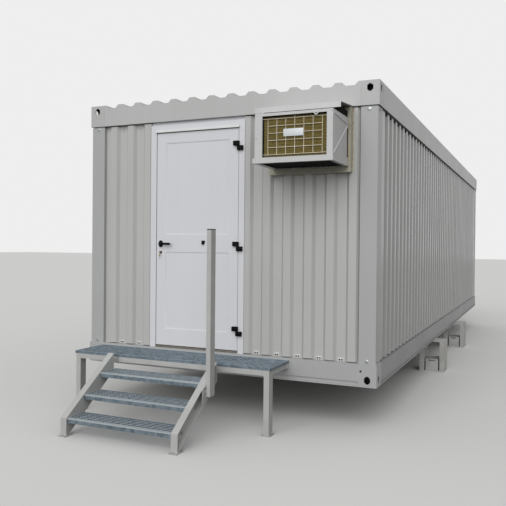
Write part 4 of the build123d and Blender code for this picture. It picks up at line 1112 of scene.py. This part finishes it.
@dataclass
class AirConditioner:
    """Fins, wire guard, creased case sides, label plate, mastic and screws."""

    fin_pitch: float = 5
    fin_depth: float = 5
    wire: float = 3
    columns: int = 7
    rows: int = 6
    wire_in: Pair = (42, 21.5)
    crossing: float = 3.6
    bezel_low: Pair = (65, 41)
    bezel_high: Pair = (50, 24)
    clip_in: float = 141
    plate_low: Pair = (249, 209)
    plate_size: Pair = (173, 62)
    skirt: float = 30
    wall_setback: float = 18
    slot_out: Pair = (60, 86)
    slot_height: float = 266
    blades: int = 18
    hood_gap_shade_reach: float = 325
    hood_gap_shade_height: float = 66
    bead: float = 6
    bead_swell: float = 1.3
    bead_points: int = 60

    def make(self) -> None:
        """Make the pieces in order."""
        self.fins()
        self.guard()
        self.creases()
        self.vents()
        self.trims()
        self.mastic()

    def opening(self) -> tuple[np.ndarray, np.ndarray]:
        """Lowest and highest x and z of the case's opening."""
        low, high = box("ac_case")[:, ::2]
        return low + self.bezel_low, high - self.bezel_high

    def fins(self) -> None:
        """The coil's fin pack: a block whose front is a zigzag, one tooth for each fin."""
        low, high = box("ac_coil")
        teeth = int((high[0] - low[0]) / self.fin_pitch)
        xs = np.linspace(low[0], high[0], 2 * teeth + 1)
        ys = low[1] + self.fin_depth * (np.arange(2 * teeth + 1) % 2)
        outline = np.concatenate((np.stack((xs, ys), -1), ((high[0], high[1]), (low[0], high[1]))))
        fit("ac_fin_pack", [run((low[2], high[2]), outline, UP)], FINS, "cabin", ["ac_coil"])
        # near-black strip round the opening: painted shade at the edge of the bezel's recess
        shade_strip = border(*self.opening(), ((-1, -4), (7, -4), (7, 6), (-1, 6)), low[1])
        fit("ac_coil_shade_strip", [shade_strip], SHADE_FOAM)

    def guard(self) -> None:
        """Round wires in a grid; its top, bottom and middle ones run on to the opening's edge."""
        low, high = box("ac_wire_guard")
        wire, (inset_x, inset_z) = self.wire, self.wire_in
        back = high[1] - wire
        front = back - self.crossing
        xs = np.linspace(low[0] + inset_x, high[0] - inset_x, self.columns)
        zs = np.linspace(low[2] + inset_z, high[2] - inset_z, self.rows)
        forms = []
        for x in xs:
            top = high[2] if x == xs[self.columns // 2] else zs[-1] + wire
            forms.append(swept(((x, back, zs[0] - wire), (x, back, top)), circle(wire, 10), (1, 0, 0)))
        for z in zs:
            left, right = (low[0], high[0]) if z in (zs[0], zs[-1]) else (xs[0] - wire, xs[-1] + wire)
            forms.append(swept(((left, front, z), (right, front, z)), circle(wire, 10), (0, 1, 0)))
        fit("ac_guard_wires", forms, WIRE, "cabin", ["ac_wire_guard"])
        x, z = box("ac_case")[0][::2] + self.plate_low
        width, height = self.plate_size
        plate = block((x, front - wire - 2, z), (x + width, front - wire + SINK, z + height), 0.9, 2)
        fit("ac_bare_plate", [plate], LABEL)

    def creases(self) -> None:
        """Two stiffening creases pressed into each side of the case, which meet high at its rear."""
        case = box("ac_case")
        (_, front, foot), (_, _, head) = case
        wall = box("ac_wall_frame")[0][1]
        ridge = np.array(((-11, 0), (11, 0), (2, -6), (-2, -6)))
        forms = []
        for end, out in ENDS:
            x = case[end][0] - out * SINK
            for y, z in ((front + 16, foot + 50), (front + 24, head - 30)):
                path = np.array(((x, y, z), (x, wall - 12, head - 60)))
                forms.append(swept(path, ridge, np.cross(unit(path[1] - path[0]), (out, 0, 0))))
        fit("ac_side_creases", forms, APPLIANCE)

    def vents(self) -> None:
        """A black louvred strip over each side's air slot, and black blocks under and over the case: painted
        shade in the slot, the open underside and the gap under the hood.
        """
        low, high = box("ac_case")
        wall = box("ac_wall_frame")[0][1]
        face = box("front_wall_right")[0][1] - self.wall_setback
        far, near = (face - out for out in self.slot_out)
        foot, head = (low[2] + high[2]) / 2 + self.slot_height * np.array((-0.5, 0.5))
        blades = [(0, 0, z) for z in np.linspace(foot + 8, head - 8, self.blades)]
        forms = []
        # black strips and blades: painted shade within the air slots
        for x, out in ((low[0], -1), (high[0], 1)):
            forms.append(block((x - out * SINK, near, foot), (x + out * 1.2, far, head), 0.5, 1))
            forms.append(block((x, near + 3, -2), (x + out * 3, far - 3, 2), 1, 1).at(blades))
        fit("ac_side_vents_in_shade", forms, BLACK_NYLON)
        # near-black blocks: painted shade in the case's open underside and in the gap under the hood
        underside_shade = block(low + 6, (high[0] - 6, wall - 6, low[2] + self.skirt - SINK), 5)
        hood_gap_shade = block((low[0] + 8, face - self.hood_gap_shade_reach, high[2] - SINK),
                        (high[0] - 8, wall + SINK, high[2] + self.hood_gap_shade_height), 6)
        fit("ac_shade_blocks", [underside_shade, hood_gap_shade], SHADE_FOAM)

    def trims(self) -> None:
        """Rolled lip round the case's opening, the guard's spring clip and small screws."""
        (left, front, foot), (right, _, head) = box("ac_case")
        low, high = self.opening()
        wing = ((-27, 4), (-15, 4), (0, -11), (15, 4), (27, 4), (6, -19), (-6, -19))
        clip = run((-8, 1.5), wing, FRONT).at((right - self.clip_in, front, high[1]))
        lip = border(low, high, circle(2.5, 10) - (1, 0), front)
        fit("ac_opening_lip", [lip, clip], APPLIANCE)
        places = [*product((left + 12, right - 12), [front], (foot + 20, (foot + head) / 2, head - 14))]
        low, high = box("ac_wall_frame")
        places += product((low[0] + 24, high[0] - 18), [low[1]], np.linspace(low[2] + 25, high[2] - 60, 5))
        fit("ac_screws", [Fastener.ROUND_SCREW.at(FRONT, places)], ZINC_PLATE)

    def mastic(self) -> None:
        """Uneven gunned beads where the case meets the wall frame and the frame meets the wall.

        A bead's radius is its mean plus three sines of different length along its path.
        """
        (left, _, foot), (right, _, head) = box("ac_case")
        (wall_left, y, wall_foot), (wall_right, _, wall_head) = box("ac_wall_frame")
        wall_y = box("front_wall_right")[0][1]
        lines = [((right, y, foot), (right, y, head)), ((left, y, foot), (left, y, head)),
                 ((left, y, foot), (right, y, foot))]
        lines += [((x, wall_y, wall_foot + 5), (x, wall_y, wall_head - 12)) for x in (wall_right, wall_left)]
        share = np.linspace(0, 1, self.bead_points)
        forms = []
        for number, (start, end) in enumerate(lines):
            swell = np.sin(31 * share + number) + np.sin(67 * share) + 0.8 * np.sin(9 * share + 2 * number)
            across = (0, 1, 0) if start[2] == end[2] else (1, 0, 0)
            section = circle(self.bead + self.bead_swell * swell, 8)
            forms.append(swept(np.linspace(start, end, self.bead_points), section, across))
        fit("ac_mastic_beads", forms, MASTIC)


@dataclass
class Stair:
    """Fine gratings for the landing and treads, their edges, bolts and the post's cap."""

    treads: tuple[str, ...] = ("tread_1", "tread_2", "tread_3")
    bar_pitch: float = 32
    bar_width: float = 3
    bar_drop: float = 1
    rod_pitch: float = 36
    rod: float = 3.6
    rod_twist: float = 50
    edge: float = 5
    nosing: float = 24
    web: float = 6
    toe_margin: float = 8
    foot_plate: float = 8
    bolt_shares: Pair = (0.2, 0.62)
    bolt_drop: float = 30
    plate_bolt_in: float = 41
    plate_bolt_drops: Pair = (148, 196)
    leg_bolt_in: Pair = (7.5, 55)
    toe_bolt_in: float = 14

    def make(self) -> None:
        """Make the pieces in order."""
        self.gratings()
        self.bolts()
        self.post_cap()

    def gratings(self) -> None:
        """Gratings of the landing and treads, and a plain bright angle over each tread's front edge."""
        nosing = ((0, -9), (0, 0), (self.nosing, 0), (self.nosing, -3), (3, -3), (3, -9))
        for node in ("landing_grating", *self.treads):
            low, high = box(node)
            fit(f"{node}_mesh", self.mesh(low, high), GRATING, "cabin", [node])
            if node in self.treads:
                form = run((low[0], high[0]), nosing, RIGHT).at((0, low[1] - SINK, high[2] + SINK))
                fit(f"{node}_nosing", [form], NOSING)

    def mesh(self, low: np.ndarray, high: np.ndarray) -> list[Form]:
        """Build one grating: edge bars, bearing bars from front to back and twisted square rods across.

        A rod's section is a square that turns evenly along its length.

        Args:
            low: Its lowest corner.
            high: Its highest corner.

        Returns:
            Its edges, bars and rods.
        """
        length, depth, _ = high - low
        rim, half = self.edge, self.bar_width / 2
        xs = np.linspace(low[0], high[0], max(2, round(length / self.bar_pitch)) + 1)[1:-1]
        ys = np.linspace(low[1], high[1], max(2, round(depth / self.rod_pitch)) + 1)[1:-1]
        bar = block((-half, *low[1:]), (half, high[1], high[2] - self.bar_drop))
        along = np.arange(low[0], high[0], self.rod_twist / 4)
        flat = circle(np.full(len(along), self.rod), 4, math.tau * along / self.rod_twist)
        rod = skin(np.roll(raised(flat, along), 1, axis=-1))
        return [
            block(low, (high[0], low[1] + rim, high[2])),
            block((low[0], high[1] - rim, low[2]), high),
            block(low, (low[0] + rim, high[1], high[2])),
            block((high[0] - rim, low[1], low[2]), high),
            bar.at([(x, 0, 0) for x in xs]),
            rod.at([(0, y, high[2] - self.rod) for y in ys]),
        ]

    def bolts(self) -> None:
        """Bolts through the stringers at each tread, on the foot plates and on the post's plate."""
        rights, lefts = [], []
        for node in self.treads:
            low, high = box(node)
            for y in (low[1] + share * (high[1] - low[1]) for share in self.bolt_shares):
                rights.append((high[0] + self.web, y, high[2] - self.bolt_drop))
                lefts.append((low[0] - self.web, y, high[2] - self.bolt_drop))
        plate_x = box("stringer_right")[1][0] - self.toe_margin + self.web
        plate_y, top = box("handrail_post")[0][1] + self.plate_bolt_in, box("landing_grating")[1][2]
        rights += [(plate_x, plate_y, top - drop) for drop in self.plate_bolt_drops]
        low, high = box("landing_legs")
        inset, back = self.leg_bolt_in
        feet = [(x, low[1] + back, self.foot_plate) for x in (low[0] + inset, high[0] - inset)]
        for low, high in (box("stringer_left"), box("stringer_right")):
            feet.append(((low[0] + high[0]) / 2, low[1] + self.toe_bolt_in, self.foot_plate))
        forms = [Fastener.STAIR_BOLT.at(RIGHT, rights), Fastener.STAIR_BOLT.at(LEFT, lefts),
                 Fastener.SHEET_SCREW.at(UP, feet)]
        fit("stair_bolts", forms, ZINC_PLATE)

    def post_cap(self) -> None:
        """A black plug in the top of the handrail post."""
        low, high = box("handrail_post")
        cap = block((-40.5, 52.5, -SINK), (0.5, 133.5, 8), 1.8).at((high[0], low[1], high[2]))
        fit("handrail_post_cap", [cap], BLACK_NYLON)


# Studio


@dataclass
class Studio:
    """Pale floor, even soft light and the camera at the photograph's angle.

    Lengths are in metres, but lens and sensor in millimetres. The key's angles are in degrees and
    the camera's in radians.
    """

    floor_half: float = 90.0
    floor_colour: str = "d8d8d6"
    floor_bounce: str = "525251"
    sky: float = 0.57
    backdrop: float = 0.86
    key: float = 2.12
    key_turn: float = 9.0
    key_height: float = 27.0
    key_spread: float = 60.0
    lens: float = 46.015
    sensor: float = 36.0
    reach: float = 400.0
    camera_place: tuple[float, float, float] = (2.769044, -9.249697, 1.600786)
    yaw: float = 0.42036
    pitch: float = -0.010747
    roll: float = 0.009230

    def make(self) -> None:
        """Set up floor, light and camera."""
        self.floor()
        self.light()
        self.camera()

    def floor(self) -> None:
        """A wide plain floor: pale to look at, darker to bounced light so that undersides stay dark."""
        mesh = bpy.data.meshes.new("studio_floor")
        corners = np.column_stack((SQUARE * self.floor_half, np.zeros(4)))
        mesh.from_pydata(corners.tolist(), [], [(0, 1, 2, 3)])
        material = bpy.data.materials.new("studio_floor_paint")
        recipe = Recipe(material)
        colours = {0: recipe.seen(), 6: self.floor_bounce, 7: self.floor_colour}
        colour = recipe.add("Mix", colours, data_type="RGBA")[2]
        recipe.add(recipe.shader, {"Base Color": colour, "Roughness": 0.9, "Specular IOR Level": 0.0})
        mesh.materials.append(material)
        placed("studio_floor", mesh)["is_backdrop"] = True

    def light(self) -> None:
        """An even world that the camera and reflections see as a pale backdrop, with one soft key."""
        world = bpy.data.worlds.new("studio_world")
        recipe = Recipe(world, "Background")
        strength = recipe.add("MapRange", (recipe.seen(), *FULL, self.sky, self.backdrop))[0]
        recipe.add(recipe.shader, {"Strength": strength, "Color": (1, 1, 1, 1)})
        bpy.context.scene.world = world
        lamp = bpy.data.lights.new("studio_key", "SUN")
        lamp.energy = self.key
        lamp.angle = math.radians(self.key_spread)
        turn = (math.radians(90 - self.key_height), 0, math.radians(self.key_turn))
        placed("studio_key", lamp).rotation_euler = turn

    def camera(self) -> None:
        """Camera at the place and turn that the photograph gives, with a plain view transform."""
        data = bpy.data.cameras.new("camera")
        data.lens = self.lens
        data.sensor_width = self.sensor
        data.clip_end = self.reach
        camera = placed("camera", data)
        turns = ((self.yaw, "Z"), (math.pi / 2 + self.pitch, "X"), (self.roll, "Z"))
        stand = Matrix.Translation(self.camera_place)
        for angle, axis in turns:
            stand @= Matrix.Rotation(angle, 4, axis)
        camera.matrix_world = stand
        bpy.context.scene.camera = camera
        bpy.context.scene.view_settings.view_transform = "Standard"


def dress_nodes() -> None:
    """Give every carried-over node the finish of its slot."""
    slots = {part["node"]: part["material_slot"] for part in frame["record"]["subparts"]}
    for name, node in frame["nodes"].items():
        finish = NODE_FINISHES.get(name, SLOT_FINISHES[slots[name]])
        node.data.materials.clear()
        node.data.materials.append(finish.material())


def write_sizes() -> None:
    """Gather the frame's box and the dressed model's box, in metres, in a table that is not kept."""
    boxes = {"cad": CAD_BOX, "visual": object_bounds()}
    {name: [list(corner) for corner in pair] for name, pair in boxes.items()}


def main() -> None:
    """Dress the nodes, build each sub-assembly in order and set up the studio."""
    logging.basicConfig(level=logging.INFO, format="%(name)s %(message)s")
    dress_nodes()
    for assembly in (SteelFrame(), Cladding(), Entrance(), AirConditioner(), Stair(), Studio()):
        assembly.make()
        LOG.info("%s finished", type(assembly).__name__)
    write_sizes()


if __name__ == "__main__":
    main()
